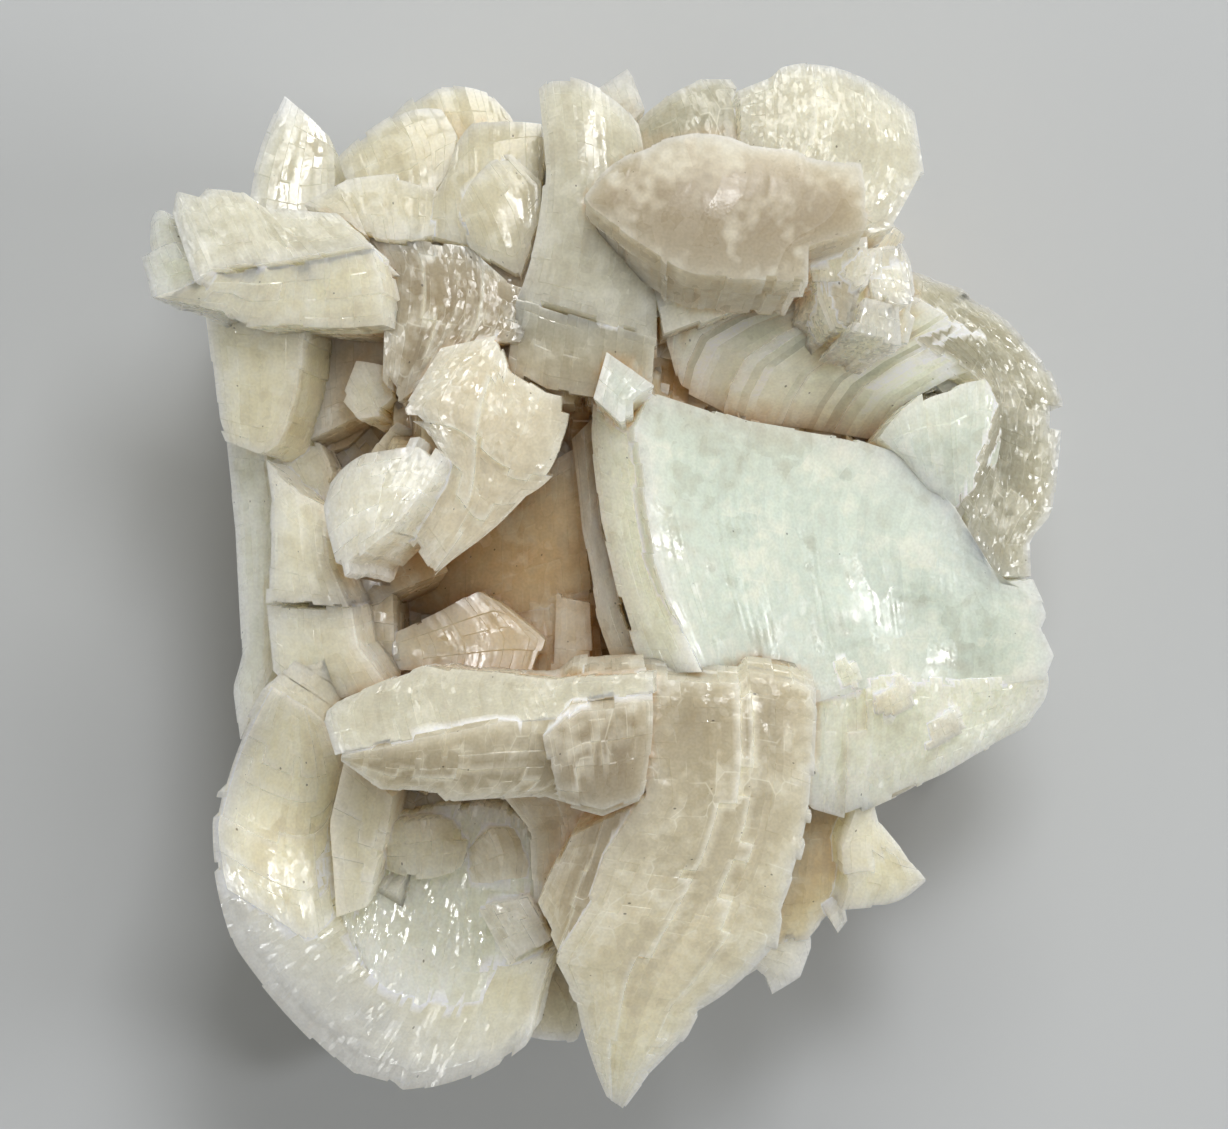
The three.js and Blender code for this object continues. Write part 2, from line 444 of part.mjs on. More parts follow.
// A closed blade: the face is the blend of its four edges, lifted by height, slope, bend and
// ledges, and the wall carries its edge along "into", past a step, to a narrower root
function bladeGeometry({
  height, about, slope = [0, 0], bend = [0, 0, 0], into, root = 0.86, radiate = RADIATE, edges, ledges = [],
}) {
  const [front, right, back, left] = edges.map((edge, i) => edgePoints(edge, edges[(i + 1) % 4][0]));
  const us = divisions(front, back, ledges, 'u');
  const vs = divisions(right, left, ledges, 'v');
  const all = edges.flat();
  const middle = [0, 1].map((k) => all.reduce((sum, p) => sum + p[k], 0) / all.length);
  const origin = about ?? middle;
  const corner = edges.map((edge) => edge[0]);
  const positions = [];
  for (const v of vs) {
    for (const u of us) {
      const [f, r, b, l] = [along(front, u), along(right, v), along(back, 1 - u), along(left, 1 - v)];
      const [x, y] = [0, 1].map((k) => (1 - v) * f[k] + v * b[k] + (1 - u) * l[k] + u * r[k]
        - (1 - u) * (1 - v) * corner[0][k] - u * (1 - v) * corner[1][k]
        - u * v * corner[2][k] - (1 - u) * v * corner[3][k]);
      const [dx, dy] = [x - origin[0], y - origin[1]];
      let z = height + slope[0] * dx + slope[1] * dy;
      z += bend[0] * dx * dx + bend[1] * dx * dy + bend[2] * dy * dy;
      ledges.forEach(([axis, at, drop]) => { z += (axis === 'u' ? u : v) > at ? drop : 0; });
      positions.push(x, y, z);
    }
  }
  const [n, m] = [us.length, vs.length];
  const index = [];
  for (let j = 0; j < m - 1; j += 1) {
    for (let i = 0; i < n - 1; i += 1) {
      const a = j * n + i;
      index.push(a, a + 1, a + n + 1, a, a + n + 1, a + n);
    }
  }
  const rim = [];
  for (let i = 0; i < n - 1; i += 1) rim.push(i);
  for (let j = 0; j < m - 1; j += 1) rim.push(j * n + n - 1);
  for (let i = n - 1; i > 0; i -= 1) rim.push((m - 1) * n + i);
  for (let j = m - 1; j > 0; j -= 1) rim.push(j * n);
  const way = [into[0] - radiate * middle[0], into[1] - radiate * middle[1], into[2]];
  let above = rim;
  let contour = [];
  for (const [share, width] of [...WALL_RINGS, [1, root]]) {
    contour = rim.map((k) => new THREE.Vector2(...[0, 1].map((axis) => (
      middle[axis] + (positions[3 * k + axis] - middle[axis]) * width + way[axis] * share))));
    const first = positions.length / 3;
    rim.forEach((k, i) => positions.push(contour[i].x, contour[i].y, positions[3 * k + 2] + way[2] * share));
    const below = rim.map((_, i) => first + i);
    rim.forEach((_, i) => {
      const next = (i + 1) % rim.length;
      index.push(above[i], below[i], below[next], above[i], below[next], above[next]);
    });
    above = below;
  }
  THREE.ShapeUtils.triangulateShape(contour, []).forEach(([a, b, c]) => {
    index.push(above[a], above[c], above[b]);
  });
  const geometry = new THREE.BufferGeometry();
  geometry.setAttribute('position', new THREE.Float32BufferAttribute(positions, 3));
  geometry.setIndex(index);
  return geometry;
}

// The middle of the cluster, a rough prism that narrows a little down to the cut
function coreGeometry() {
  const shape = new THREE.Shape(CORE_OUTLINE.map(([x, y]) => new THREE.Vector2(x, y)));
  const geometry = new THREE.ExtrudeGeometry(shape, { depth: CORE_TOP + CORE_ROOT, bevelEnabled: false });
  geometry.translate(0, 0, -CORE_ROOT);
  geometry.deleteAttribute('normal');
  geometry.deleteAttribute('uv');
  return geometry;
}

// Rhombohedral blades standing out of the flanks, each leaning its own way
function flankGeometries() {
  const outline = new THREE.Path(CORE_OUTLINE.map(([x, y]) => new THREE.Vector2(x, y)));
  outline.closePath();
  return FLANK_TIERS.flatMap(({ blades, height, turn, out }) => Array.from({ length: blades }, (_, i) => {
    const share = (i + turn) / blades;
    const spot = outline.getPointAt(share % 1);
    const way = outline.getTangentAt(share % 1);
    const size = SIDE_SIZE * (1 + SIZE_SPREAD * Math.sin(5 * i + 2 * height));
    const high = size * (HEIGHT_SHARE + HEIGHT_SPREAD * Math.cos(3 * i));
    const edges = FLANK_CORNERS.map(([x, y, bow]) => [[x * size, y * high, bow]]);
    const geometry = bladeGeometry({ ...FLANK_BLADE, height: out, edges, ledges: [FLANK_LEDGES[i % 2]] });
    const lean = THREE.MathUtils.degToRad(TILT_BY_TURN[i % TILT_BY_TURN.length]);
    geometry.rotateZ(lean * TWIST_SHARE);
    geometry.rotateX(Math.PI / 2 - Math.abs(lean) * NOD_SHARE);
    geometry.rotateZ(Math.atan2(way.y, way.x) + lean);
    geometry.translate(spot.x, spot.y, height - SINK * Math.max(spot.x - SINK_FROM, 0));
    return geometry;
  }));
}

function solid(geometry) {
  const welded = mergeVertices(geometry, WELD);
  return new wasm.Manifold(new wasm.Mesh({ numProp: 3, vertProperties: welded.attributes.position.array,
    triVerts: new Uint32Array(welded.index.array) }));
}

// The triangles of the outermost surface: pockets sealed between blades, dark inside, are filled
function outerShell(faces, points) {
  const parent = points.map((_, i) => i);
  const find = (i) => {
    while (parent[i] !== i) {
      parent[i] = parent[parent[i]];
      i = parent[i];
    }
    return i;
  };
  faces.forEach(([a, b, c]) => {
    parent[find(b)] = find(a);
    parent[find(c)] = find(a);
  });
  const highest = faces.flat().reduce((best, i) => (points[i].z > points[best].z ? i : best));
  return faces.filter(([a]) => find(a) === find(highest));
}

const between = (a, b) => new THREE.Vector3().subVectors(b, a);
const normalOf = (a, b, c) => between(a, b).cross(between(a, c));

// How far a triangle's corner stands off its longest side
function thinness(a, b, c) {
  return normalOf(a, b, c).length() / Math.max(a.distanceTo(b), b.distanceTo(c), c.distanceTo(a), NEAR_ZERO);
}

// Joins and cuts leave needless corners and slivers. A corner moves onto a neighbour where that
// shifts no face by more than SMOOTH_OFF, and a sliver's long side is turned across its pair.
function cleanFaces(faces, points) {
  const around = points.map(() => new Set());
  faces.forEach((face) => face.forEach((i) => around[i].add(face)));
  const neighbours = (i) => new Set([...around[i]].flat().filter((j) => j !== i));
  const placed = (face, from, to) => face.map((i) => points[i === from ? to : i]);

  const canMove = (from, to) => {
    const shared = neighbours(from);
    const others = neighbours(to);
    if ([...shared].filter((i) => others.has(i)).length !== 2) return false;
    return [...around[from]].every((face) => {
      const before = normalOf(...placed(face, -1, -1));
      const small = thinness(...placed(face, -1, -1)) < SLIVER;
      if (!small) {
        const off = Math.abs(before.normalize().dot(between(points[from], points[to])));
        if (off > SMOOTH_OFF) return false;
      }
      if (face.includes(to)) return true;
      const after = placed(face, from, to);
      if (thinness(...after) <= SLIVER) return false;
      return small || normalOf(...after).normalize().dot(before) > TURN_LIMIT;
    });
  };
  const move = (from, to) => {
    [...around[from]].forEach((face) => {
      if (face.includes(to)) {
        face.forEach((i) => around[i].delete(face));
        face.length = 0;
      } else {
        face[face.indexOf(from)] = to;
        around[to].add(face);
      }
    });
    around[from].clear();
  };
  const turnLongSide = (face) => {
    const k = [0, 1, 2].reduce((best, i) => {
      const length = points[face[i]].distanceTo(points[face[(i + 1) % 3]]);
      return length > best[1] ? [i, length] : best;
    }, [0, 0])[0];
    const [a, b, c] = [face[k], face[(k + 1) % 3], face[(k + 2) % 3]];
    const pair = [...around[a]].find((other) => other !== face && other.includes(b));
    const d = pair.find((i) => i !== a && i !== b);
    if (neighbours(c).has(d) || thinness(points[a], points[d], points[c]) < SLIVER
      || thinness(points[d], points[b], points[c]) < SLIVER) return;
    [face, pair].forEach((old) => old.forEach((i) => around[i].delete(old)));
    face.splice(0, 3, a, d, c);
    pair.splice(0, 3, d, b, c);
    [face, pair].forEach((made) => made.forEach((i) => around[i].add(made)));
  };
  points.forEach((_, i) => {
    const away = (j) => points[j].distanceTo(points[i]);
    const to = [...neighbours(i)].sort((p, q) => away(p) - away(q)).find((j) => canMove(i, j));
    if (to !== undefined) move(i, to);
  });
  faces.filter((face) => face.length && thinness(...placed(face, -1, -1)) < SLIVER).forEach(turnLongSide);
  return faces.filter((face) => face.length);
}

// Everything joined, then cut off at the plane it rests on
function clusterGeometry() {
  const parts = [coreGeometry(), ...flankGeometries(), ...Object.values(CRYSTALS).map(bladeGeometry)];
  const joined = parts.map(solid).reduce((whole, part) => whole.add(part));
  const below = new THREE.BoxGeometry(...BELOW_CUT).translate(0, 0, -BELOW_CUT[2] / 2);
  below.deleteAttribute('normal');
  below.deleteAttribute('uv');
  let whole = joined.subtract(solid(below));
  let geometry;
  for (let round = 0; round < CLEAN_ROUNDS; round += 1) {
    const { vertProperties, triVerts } = whole.getMesh();
    const points = Array.from({ length: vertProperties.length / 3 },
      (_, i) => new THREE.Vector3().fromArray(vertProperties, 3 * i));
    const faces = Array.from({ length: triVerts.length / 3 },
      (_, i) => [...triVerts.slice(3 * i, 3 * i + 3)]);
    geometry = new THREE.BufferGeometry().setFromPoints(points);
    geometry.setIndex(cleanFaces(outerShell(faces, points), points).flat());
    whole = solid(geometry);
  }
  geometry.translate(-BOX_CENTRE[0], -BOX_CENTRE[1], 0);
  return geometry.scale(SCALE, SCALE, SCALE);
}

const cluster = new THREE.Mesh(clusterGeometry(), stone);
cluster.name = 'dolomite_cluster';

const specimen = new THREE.Group();
specimen.add(cluster);

export default specimen;
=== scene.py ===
"""A thumbnail cluster of bladed saddle dolomite, lying on its cut with the display face up.

Each crystal is one curved blade, worked out on a grid: a face blended from four edges, divided
into the small tilted blocks of a mosaic crystal, and a wall of thin layers down to its root.
Blades that grew through each other are joined, and every finished piece replaces the one solid.
"""
import math
from dataclasses import dataclass, field

import bpy
import numpy as np
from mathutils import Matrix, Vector


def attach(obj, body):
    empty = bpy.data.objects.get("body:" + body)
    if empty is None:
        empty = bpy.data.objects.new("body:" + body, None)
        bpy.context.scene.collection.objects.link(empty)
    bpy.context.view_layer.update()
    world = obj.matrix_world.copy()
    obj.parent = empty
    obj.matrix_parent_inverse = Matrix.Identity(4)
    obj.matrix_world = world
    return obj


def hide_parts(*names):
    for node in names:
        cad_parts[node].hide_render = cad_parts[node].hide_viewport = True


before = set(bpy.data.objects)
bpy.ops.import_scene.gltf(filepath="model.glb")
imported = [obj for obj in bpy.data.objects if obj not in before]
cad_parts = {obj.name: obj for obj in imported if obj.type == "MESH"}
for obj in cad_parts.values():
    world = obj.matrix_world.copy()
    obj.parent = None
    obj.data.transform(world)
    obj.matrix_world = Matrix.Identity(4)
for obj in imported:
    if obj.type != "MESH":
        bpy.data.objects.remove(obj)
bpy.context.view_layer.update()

MM = 0.001
NODE = "dolomite_cluster"

# Shape of the cluster, in millimetres, as in the solid
BOX_CENTRE = (0.26, 0.06)          # middle of the drawn outline, which lies at the origin
CORE_TOP = 9.2                     # height of the grown-together middle above the cut
RADIATE = 0.13                     # roots lean in to the middle by this share of their distance
WALL_PROFILE = ((0, 1), (0.38, 0.985), (0.42, 0.92), (1, 0.86))    # share of the way down, width
ROOT_CLOSES = (0.4, 0.8)           # shares by which the rings behind the root draw together
CUT_BOX = (40, 20)                 # half width and depth of what is cut away below

# Finish of the crystals, in millimetres
DISPLAY_BLOCK = (0.26, 0.45)       # size of a mosaic block across and along the grain
FLANK_BLOCK = (0.5, 0.7)           # and on a flank blade
GAP_BLOCK = (0.5, 0.6)             # and on a crystal in a gap
WIDTHS = (0.5, 1.5)                # range of the widths of blocks and layers, against their mean
BORDER = 0.03                      # share of a block taken by the step to the next
EDGE_FADE = 1.6                    # how far in a corner of the outline is felt
SAW_FADE = 0.5                     # and a block that stands back from the rim
LAYER = 0.42                       # thickness of one growth layer in a wall
WALL_SAW = 0.045                   # how far the blocks of a wall stand in and out
SWELL_PATCH = 2                    # size of a slow rise or fall of the face
GROWTH_LEVELS = 3
GROWTH_PATCH = (1.6, 2.6)          # size of a growth step across and along the grain
LEDGE_SHARE = 0.5                  # a ledge has this share of its height in the solid
RELIEF_FADE = 6                    # how fast the rim's relief fades down a wall, as a power
RIM_GLOW = 0.18                    # share by which a rim is painted lighter, as a glow
RIM_WIDTH = 0.15
EDGE_GLOW = 0.35                   # share of painted glow, in the milky colour, at the edge of a face
EDGE_REACH = 0.7                   # and how far in it goes
LIP_HIGHLIGHT = 0.7                     # share of painted highlight, in the milky colour, on the lip of a ledge
LIP_STEP = 0.12                    # a step of this height has a full painted highlight on its lip
ARC_POINTS = 24                    # points along a bowed stretch of an edge
SWEEP_POINTS = 65                  # points at which an edge is compared with its sweep
GRAIN_SPREAD = 40                  # range over which the grain of each blade is shifted
SHARP_DEGREES = 24

# Chance that a block in a lane isn't one with the block before it
FACE_CHANGES = 0.35
RIM_CHANGES = 0.4
WALL_CHANGES = 0.7
LEDGE_CHANGES = 0.45               # and that a ledge's line may step at the next lane

# Blades on the flanks: how many in each tier, their height, turn and how far they stand out
FLANK_TIERS = ((17, 2.2, 0.1, 0.5), (15, 5.8, 0.55, 0.8), (13, 9.2, 0.3, 0.1))
FLANK_SIZE = 2.9                   # half length of one
FLANK_VARIES = 0.22                # share by which it varies
FLANK_ROOT = (0, 0, -3.4)          # the way to its root
FLANK_TILTS = (12, -20, 28, -8, 18, -26, 4)    # degrees that each leans
SINK = 0.3                         # they stand lower to the right, under the broad face
SINK_FROM = 4

# Small crystals that fill the gaps between the blades
GAP_SPACING = 1.15
GAP_JITTER = 0.4                   # how far one stands from its place in the grid
GAP_DEPTH = 0.5                    # how far below the blades around them they end
GAP_CLEAR = 0.25                   # and below any face over them
GAP_LOWEST = CORE_TOP - 1          # one that would end lower is hidden
GAP_SIZE = 0.75                    # half length of one
GAP_SIZES = (0.8, 1.25)            # and the range of its share of that
GAP_RHOMB = ((-1, -0.8), (0.9, -0.7), (1.1, 0.8), (-0.8, 0.75))    # its corners, in half lengths
GAP_BOW = 0.06                     # how far its edges bow out
GAP_SLOPE = 0.12                   # the steepest one
GAP_ROOT = (0, 0, -2.4)            # the way to its root
GAP_BLUR = 1.25                    # how far round a place the blades' level is taken
GAP_STEP = 2                       # rise between the blades beside a gap
GAP_MARGIN = 4.4                   # how far they stay from the outline
RING = [(math.cos(k * math.pi / 8), math.sin(k * math.pi / 8)) for k in range(16)]    # all round

# The middle rises between the blades, so that no deep gap is left
FILL_DEPTH = 0.4                   # how far it stays below the lowest face near by
FILL_REACH = 0.75                  # and how far round a place that face may be
FILL_RISE = 6                      # its steepest rise from its own rim

# How sheltered a point is, for the amber shade painted into hollows: a map of the highest points, and the
# distances that are looked over
MAP_CELL = 0.25
MAP_MARGIN = 3                     # how far the map of the faces goes past them
SKY_REACH = (0.2, 0.5, 0.9, 1.5, 2.3, 3.4, 5)
SKY_DIRECTIONS = 8
SKY_OPEN = 0.52                    # a point that sees this share of the sky isn't sheltered and gets no painted shade

# Seeds of what is random outside the blades of the display face
GRID_SEED = 500
GAP_SEED = 600
FLANK_SEED = 1000

# Colours of the stone as the eye sees them, by crystal
TINTS = {
    "cream": "#E6DFC2", "pale": "#F2EBD0", "petal": "#D2CAAD", "pink": "#D8CEB6", "tan": "#BEB297",
    "deep": "#A99E84", "frost": "#CCC9B6", "grey": "#A4A18D", "green": "#CCD6CA", "bright": "#F1F4DE",
    "white": "#E6E2D0", "amber": "#DCC8A0", "wall": "#CFC8B4", "brown": "#9F9177", "gap": "#D8C9A4",
}
# Amber painted as shade where a point sees little sky
SHADE_AMBER = "#D6B283"
SPECK = "#3B352C"
SHADE = "#B1A691"
# Milky haze and white cracks, and also the colour of the painted glow and highlights at rims and lips
MILK_AND_HIGHLIGHT = "#F4F1E2"


@dataclass
class Blade:
    """One crystal. Four edges run against the clock from the face's lower left corner; a third
    number bows the stretch that follows. The face has a height above the cut at its middle, or
    at about, a slope along X and Y, and a bend along XX, XY and YY; into carries it to its root.
    A ledge raises the face, or drops it, past a share of its way along u, the first edge, or v,
    the second. The grain runs along v."""
    height: float
    into: tuple
    edges: list
    slope: tuple = (0, 0)
    bend: tuple = (0, 0, 0)
    about: tuple = None
    ledges: list = field(default_factory=list)
    narrows: bool = True           # its wall draws in on the way down
    radiate: float = RADIATE
    tint: str = "cream"
    far: str = None                # tint at the end that v runs to, where that differs
    block: tuple = DISPLAY_BLOCK
    terrace: float = 0.02          # height of one growth step
    drift: float = 0.004           # how far the blocks differ
    lean: float = 0.008            # rise of a strip across itself
    swell: float = 0.08            # slow rise and fall of the face
    stair: float = 0.3             # step of a ledge's line
    saw: float = 0.14              # how far the blocks at the rim may stand back
    bands: float = 0.03            # share by which a block is lighter or darker than the next
    sparkle: float = 0.08          # how broken it is: tilt of its glittering facets
    frost: float = 0.25            # roughness of its faces
    under: bool = False            # it lies under the others and only carries them


BOWL = (-5.1, -8.1)                # the round blade's lowest point
PIECES = {
    "round_blade": [
        Blade(12.0, (0.9, 0.9, -3.4), about=BOWL, bend=(0.075, 0, 0.075), terrace=0.008, lean=0.004,
              sparkle=0.5, frost=0.2, edges=[
            [(-9.8, -2.6, 0.25), (-11.6, -6.9, 0.2), (-10.9, -10.7, 0.2),
             (-7.4, -14.5), (-6.3, -14.8), (-6, -15.1, 0.35)], [(-2.1, -13.5)],
            [(-1.4, -10.9, -1.4), (-7.2, -8.5, -0.2)], [(-8.2, -3.7)]]),
        Blade(12.1, (-0.4, -0.3, -3), about=BOWL, bend=(0.075, 0, 0.075), radiate=0, tint="pale",
              sparkle=0.2, ledges=[("v", 0.2, 0.2), ("v", 0.38, -0.2), ("v", 0.55, 0.2), ("v", 0.72, 0.2),
              ("u", 0.6, -0.25)], edges=[
            [(-11.1, -9), (-9.7, -9.9), (-8.6, -10.6), (-8, -9.9)], [(-8.2, -8), (-8, -6.4), (-7.5, -5.2)],
            [(-8.3, -3.8)], [(-9.7, -2.8, 0.2), (-11.4, -7, 0.05)]]),
        Blade(12.22, (0, 0.2, -2.5), about=BOWL, bend=(0.05, 0, 0.05), tint="bright", swell=0.7,
              sparkle=0.9, frost=0.12, edges=[
            [(-7.9, -9.6), (-7, -11.7, 0.1), (-5.2, -12.8, 0.1), (-3.2, -12.6)],
            [(-1.8, -11.4, 0.1), (-1.6, -9.2)], [(-1.7, -7.6, 0.2), (-3.4, -6.4), (-5, -6.5)],
            [(-6.8, -6.8), (-7.6, -8.2)]]),
        Blade(13.5, (0.3, 0.2, -3), slope=(-0.15, 0.1), sparkle=0.1,
              ledges=[("v", 0.3, 0.3), ("v", 0.65, 0.25)], edges=[
            [(-7.9, -9.8)], [(-7, -9.5), (-6.5, -7.8)], [(-6.2, -6.2)], [(-7.6, -4.9), (-8.1, -7)]]),
        Blade(12.9, (0, 0, -2), bend=(-0.2, 0, -0.25), tint="pale", swell=0.4, sparkle=0.6, frost=0.15,
              edges=[
            [(-6.6, -8.3, 0.1), (-5.4, -8.7, 0.1)], [(-4.1, -8.3, 0.1)],
            [(-3.9, -7, 0.25), (-6, -6.9, 0.1)], [(-6.7, -7.5)]]),
        Blade(12.8, (0, 0, -2.2), slope=(0.2, 0), bend=(-0.2, 0, -0.15), tint="pink", swell=0.4,
              sparkle=0.4, edges=[
            [(-3.9, -8.8, 0.1)], [(-2, -8.6, 0.1), (-1.8, -7.6)], [(-2.4, -6.9, 0.1), (-3.6, -6.6, 0.1)],
            [(-4.3, -7.8)]]),
        Blade(13.1, (0, 0, -3), slope=(0.3, -0.25), tint="white", sparkle=0.8, frost=0.15,
              ledges=[("u", 0.35, 0.3), ("u", 0.7, 0.3)], edges=[
            [(-2.7, -11.3)], [(-1.4, -10.5)], [(-2.2, -9.2)], [(-3.7, -9.5)]]),
        Blade(11.4, (0, 1.2, -4), slope=(0.1, 0.1), tint="pink", edges=[
            [(-2.2, -13.5, 0.1), (-0.7, -13.6)], [(-0.5, -13.1), (-0.9, -11.9)], [(-1.5, -11.1)],
            [(-2.5, -11.3)]]),
    ],
    "fan_blade": [
        Blade(16.1, (0.2, 0.8, -3.2), slope=(-0.02, 0.24), bend=(-0.035, 0.02, -0.03), tint="pale",
              far="deep", sparkle=0.25, ledges=[("u", 0.42, -0.35), ("u", 0.68, -0.3)], edges=[
            [(0.2, -15.2)], [(0.7, -15.6), (1.5, -14.5), (2.6, -13.4), (3, -12.6, 0.1),
             (4.7, -11.4), (5.3, -10.8), (5.5, -9.5, 0.1), (6.4, -6.2)],
            [(6.6, -3), (5.7, -2.6), (4.4, -2.4), (4.2, -2.7), (1.6, -2.5)],
            [(0.5, -2.6), (1.3, -6.1), (0, -8.1), (-0.4, -9.3), (-1.5, -11), (-0.8, -12.2, 0.1)]]),
        Blade(15.5, (0.4, 0.4, -3), slope=(0.1, 0.2), bend=(0, 0, -0.03), tint="tan", sparkle=0.3, saw=0.3,
              ledges=[("u", 0.5, 0.3)], edges=[
            [(-1.9, -9.3), (-1.2, -10.9)], [(0, -9.8), (0.9, -8.3)], [(1.5, -6.2), (0, -6.7)],
            [(-0.9, -7.3)]]),
        Blade(13.5, (0, 0.2, -3), slope=(0.2, 0.1), tint="pink", sparkle=0.1, ledges=[("u", 0.5, 0.3)],
              edges=[[(-2, -9.5)], [(-0.3, -8.2)], [(0.2, -6)], [(-3.3, -5.9), (-2.1, -7.3)]]),
        Blade(12.2, (0, 0, -4), slope=(0, 0.1), tint="wall", under=True, edges=[
            [(-1.4, -11.2), (1, -12.4)], [(4.8, -9.4)], [(5.4, -3.4)], [(-0.6, -3.4)]]),
    ],
    "shelf_blade": [
        Blade(18.1, (0.3, -0.2, -3.2), slope=(0.16, -0.95), tint="frost", swell=0.2, sparkle=0.5, frost=0.2,
              edges=[
            [(-7.9, -4.9), (-6, -4.5), (-3, -3.9), (-1.3, -3.8), (-0.8, -3.3)], [(1.6, -3.1)],
            [(1.6, -2.4), (-1.2, -2.6), (-4.3, -2.3), (-5, -2.1)],
            [(-7.7, -3.2), (-8.3, -3.7), (-8.1, -4.3)]]),
        Blade(18.5, (0, 1, -3.4), slope=(-0.12, 0.4), bend=(-0.025, 0, -0.06), tint="deep", sparkle=0.15,
              ledges=[("v", 0.45, 0.2)], edges=[
            [(-7.7, -5), (-6.5, -5.9), (-4.8, -6), (-4.5, -6.3), (-1.9, -6.1), (-1, -6.4)],
            [(0.1, -6.7), (1.3, -6.2, 0.1)],
            [(1.6, -3.1), (-0.8, -3.3), (-1.3, -3.8), (-3, -3.9), (-6, -4.5)], [(-7.7, -4.9)]]),
        Blade(18.6, (0, 1, -3), about=(-3, -5.15), slope=(0.02, 0.4), bend=(-0.025, 0, -0.06), tint="brown",
              sparkle=0.2, ledges=[("v", 0.4, 0.15)], edges=[
            [(-1.3, -6.2), (0.1, -6.6)], [(1.3, -6.1, 0.1)], [(1.6, -3.2), (-0.6, -3.4)], [(-1.7, -4.4)]]),
        Blade(14.4, (0, 0, -6), tint="wall", under=True, edges=[
            [(-7, -5)], [(0.8, -5.6)], [(1.2, -3.2)], [(-7, -3.2)]]),
    ],
    "pale_crystal": [
        Blade(12.9, (-0.6, 0.3, -4), slope=(-0.5, -0.03), bend=(0.02, 0.015, -0.025), tint="green",
              sparkle=0.1, frost=0.42, terrace=0, drift=0, lean=0.001, swell=0.18, edges=[
            [(3.1, -2.5), (4.5, -3.6), (6.6, -3.4), (8.4, -2.8, -0.1), (10.8, -3)],
            [(13.5, -2.7), (13.8, -2), (13.4, -1.2), (13.6, -0.8)],
            [(13.1, 0.4), (12.1, 0.2), (10.7, 2.5), (9.1, 4.1), (7.5, 4.6), (4.4, 5.1)],
            [(1.6, 6), (1, 4.8), (1.2, 3.3), (1.6, 0.9), (2, -0.3)]]),
        Blade(15.2, (0.8, 0, -6), slope=(0.75, 0.08), tint="bright", edges=[
            [(1.3, -2.6)], [(3.1, -2.5), (2, -0.3), (1.6, 0.9), (1.2, 3.3)], [(1.1, 4.9)],
            [(-0.2, 5.7), (-0.3, 4.7), (0, 2.1), (0.5, 0), (1, -1.7)]]),
        Blade(13.3, (0.8, 0, -5), slope=(1.3, 0.1), tint="bright", edges=[
            [(0.5, -2.5)], [(1.3, -2.6), (0.5, 0), (0, 2.1)], [(-0.2, 5.2)],
            [(-0.9, 4.5), (-0.6, 2.1), (-0.1, -0.9)]]),
        Blade(16.4, (0.3, -0.2, -4), slope=(0.1, -0.2), tint="green", edges=[
            [(-0.2, 5.7), (0.6, 5)], [(1, 5.1), (1, 5.7)], [(1.6, 6.1)], [(0.2, 7.1)]]),
        Blade(11.1, (-0.4, 0.4, -5), slope=(-0.45, 0.42), bend=(0, 0, -0.04), tint="bright", sparkle=0.6,
              swell=0.25, ledges=[("u", 0.3, 0.3), ("u", 0.6, -0.3)], edges=[
            [(5.6, -5.6), (6.4, -6.6), (7.4, -6.9), (8.4, -6.5), (10.4, -5.6), (12.1, -4.6)],
            [(12.9, -4.2), (13.3, -3.6, 0.15)], [(13.6, -2.5), (10.8, -2.7), (8.4, -2.5)], [(5, -3)]]),
        Blade(9.6, (0, 0, -4), slope=(-0.4, 0), tint="wall", under=True, edges=[
            [(2, -4)], [(10, -4)], [(10, 4.6)], [(2, 6)]]),
        Blade(13, (-0.2, 0.2, -2), slope=(-0.3, 0.25), tint="bright", sparkle=0.4, saw=0.3, edges=[
            [(6.9, -3.3)], [(8, -2.9)], [(7.6, -1.9)], [(6.4, -2.4)]]),
        Blade(12.25, (-0.2, 0.2, -2), slope=(-0.35, 0.35), tint="pale", sparkle=0.5, saw=0.3, edges=[
            [(8.3, -4.1)], [(9.8, -3.3)], [(9.3, -2.4)], [(8.1, -3)]]),
        Blade(11.1, (-0.2, 0.2, -2), slope=(-0.4, 0.3), tint="white", sparkle=0.6, saw=0.3, edges=[
            [(9.9, -5)], [(11.2, -4.3)], [(10.8, -3.5)], [(9.6, -4.1)]]),
    ],
    "right_plates": [
        Blade(12.2, (0, 0.5, -6), slope=(-0.2, 0.75), bend=(0, 0, -0.06), tint="bright", bands=0.17,
              stair=0.05, radiate=0, block=(0.3, 3),
              ledges=[("u", 0.2, -0.3), ("u", 0.4, 0.3), ("u", 0.6, -0.3), ("u", 0.8, 0.3)], edges=[
            [(2, 7.4), (2.4, 6), (4.4, 5), (6, 4.9)], [(8.4, 4.5), (9.2, 5.6), (11, 6.6)],
            [(12.2, 7.3), (9.5, 8.8)], [(5, 9.2), (1.9, 8.8)]]),
        Blade(11.2, (-0.6, -0.2, -3.4), slope=(-0.3, 0.1), tint="grey", sparkle=0.8, frost=0.2, swell=0.5,
              saw=0.4, edges=[
            [(10.5, 2.6), (12, 0.3)],
            [(13.05, 0.3), (13, 1.5), (13.7, 2.3), (13.8, 3.2), (14, 5.7), (13.5, 6.9), (12.3, 8.1)],
            [(10.8, 9.15), (9.3, 9.6)], [(9.3, 7.5), (11.2, 6.4), (12, 5.6), (11.5, 4.4)]]),
        Blade(11.8, (0, 0, -4), slope=(-0.3, 0.15), bend=(-0.06, 0, -0.04), tint="green", sparkle=0.15,
              edges=[
            [(9.1, 4), (9.9, 3), (10.7, 2.5)], [(12, 3.9)],
            [(12.3, 5.7, 0.15), (11.6, 6.5, 0.1), (9.8, 6, 0.1)], [(8.4, 4.6)]]),
    ],
    "top_right_crystals": [
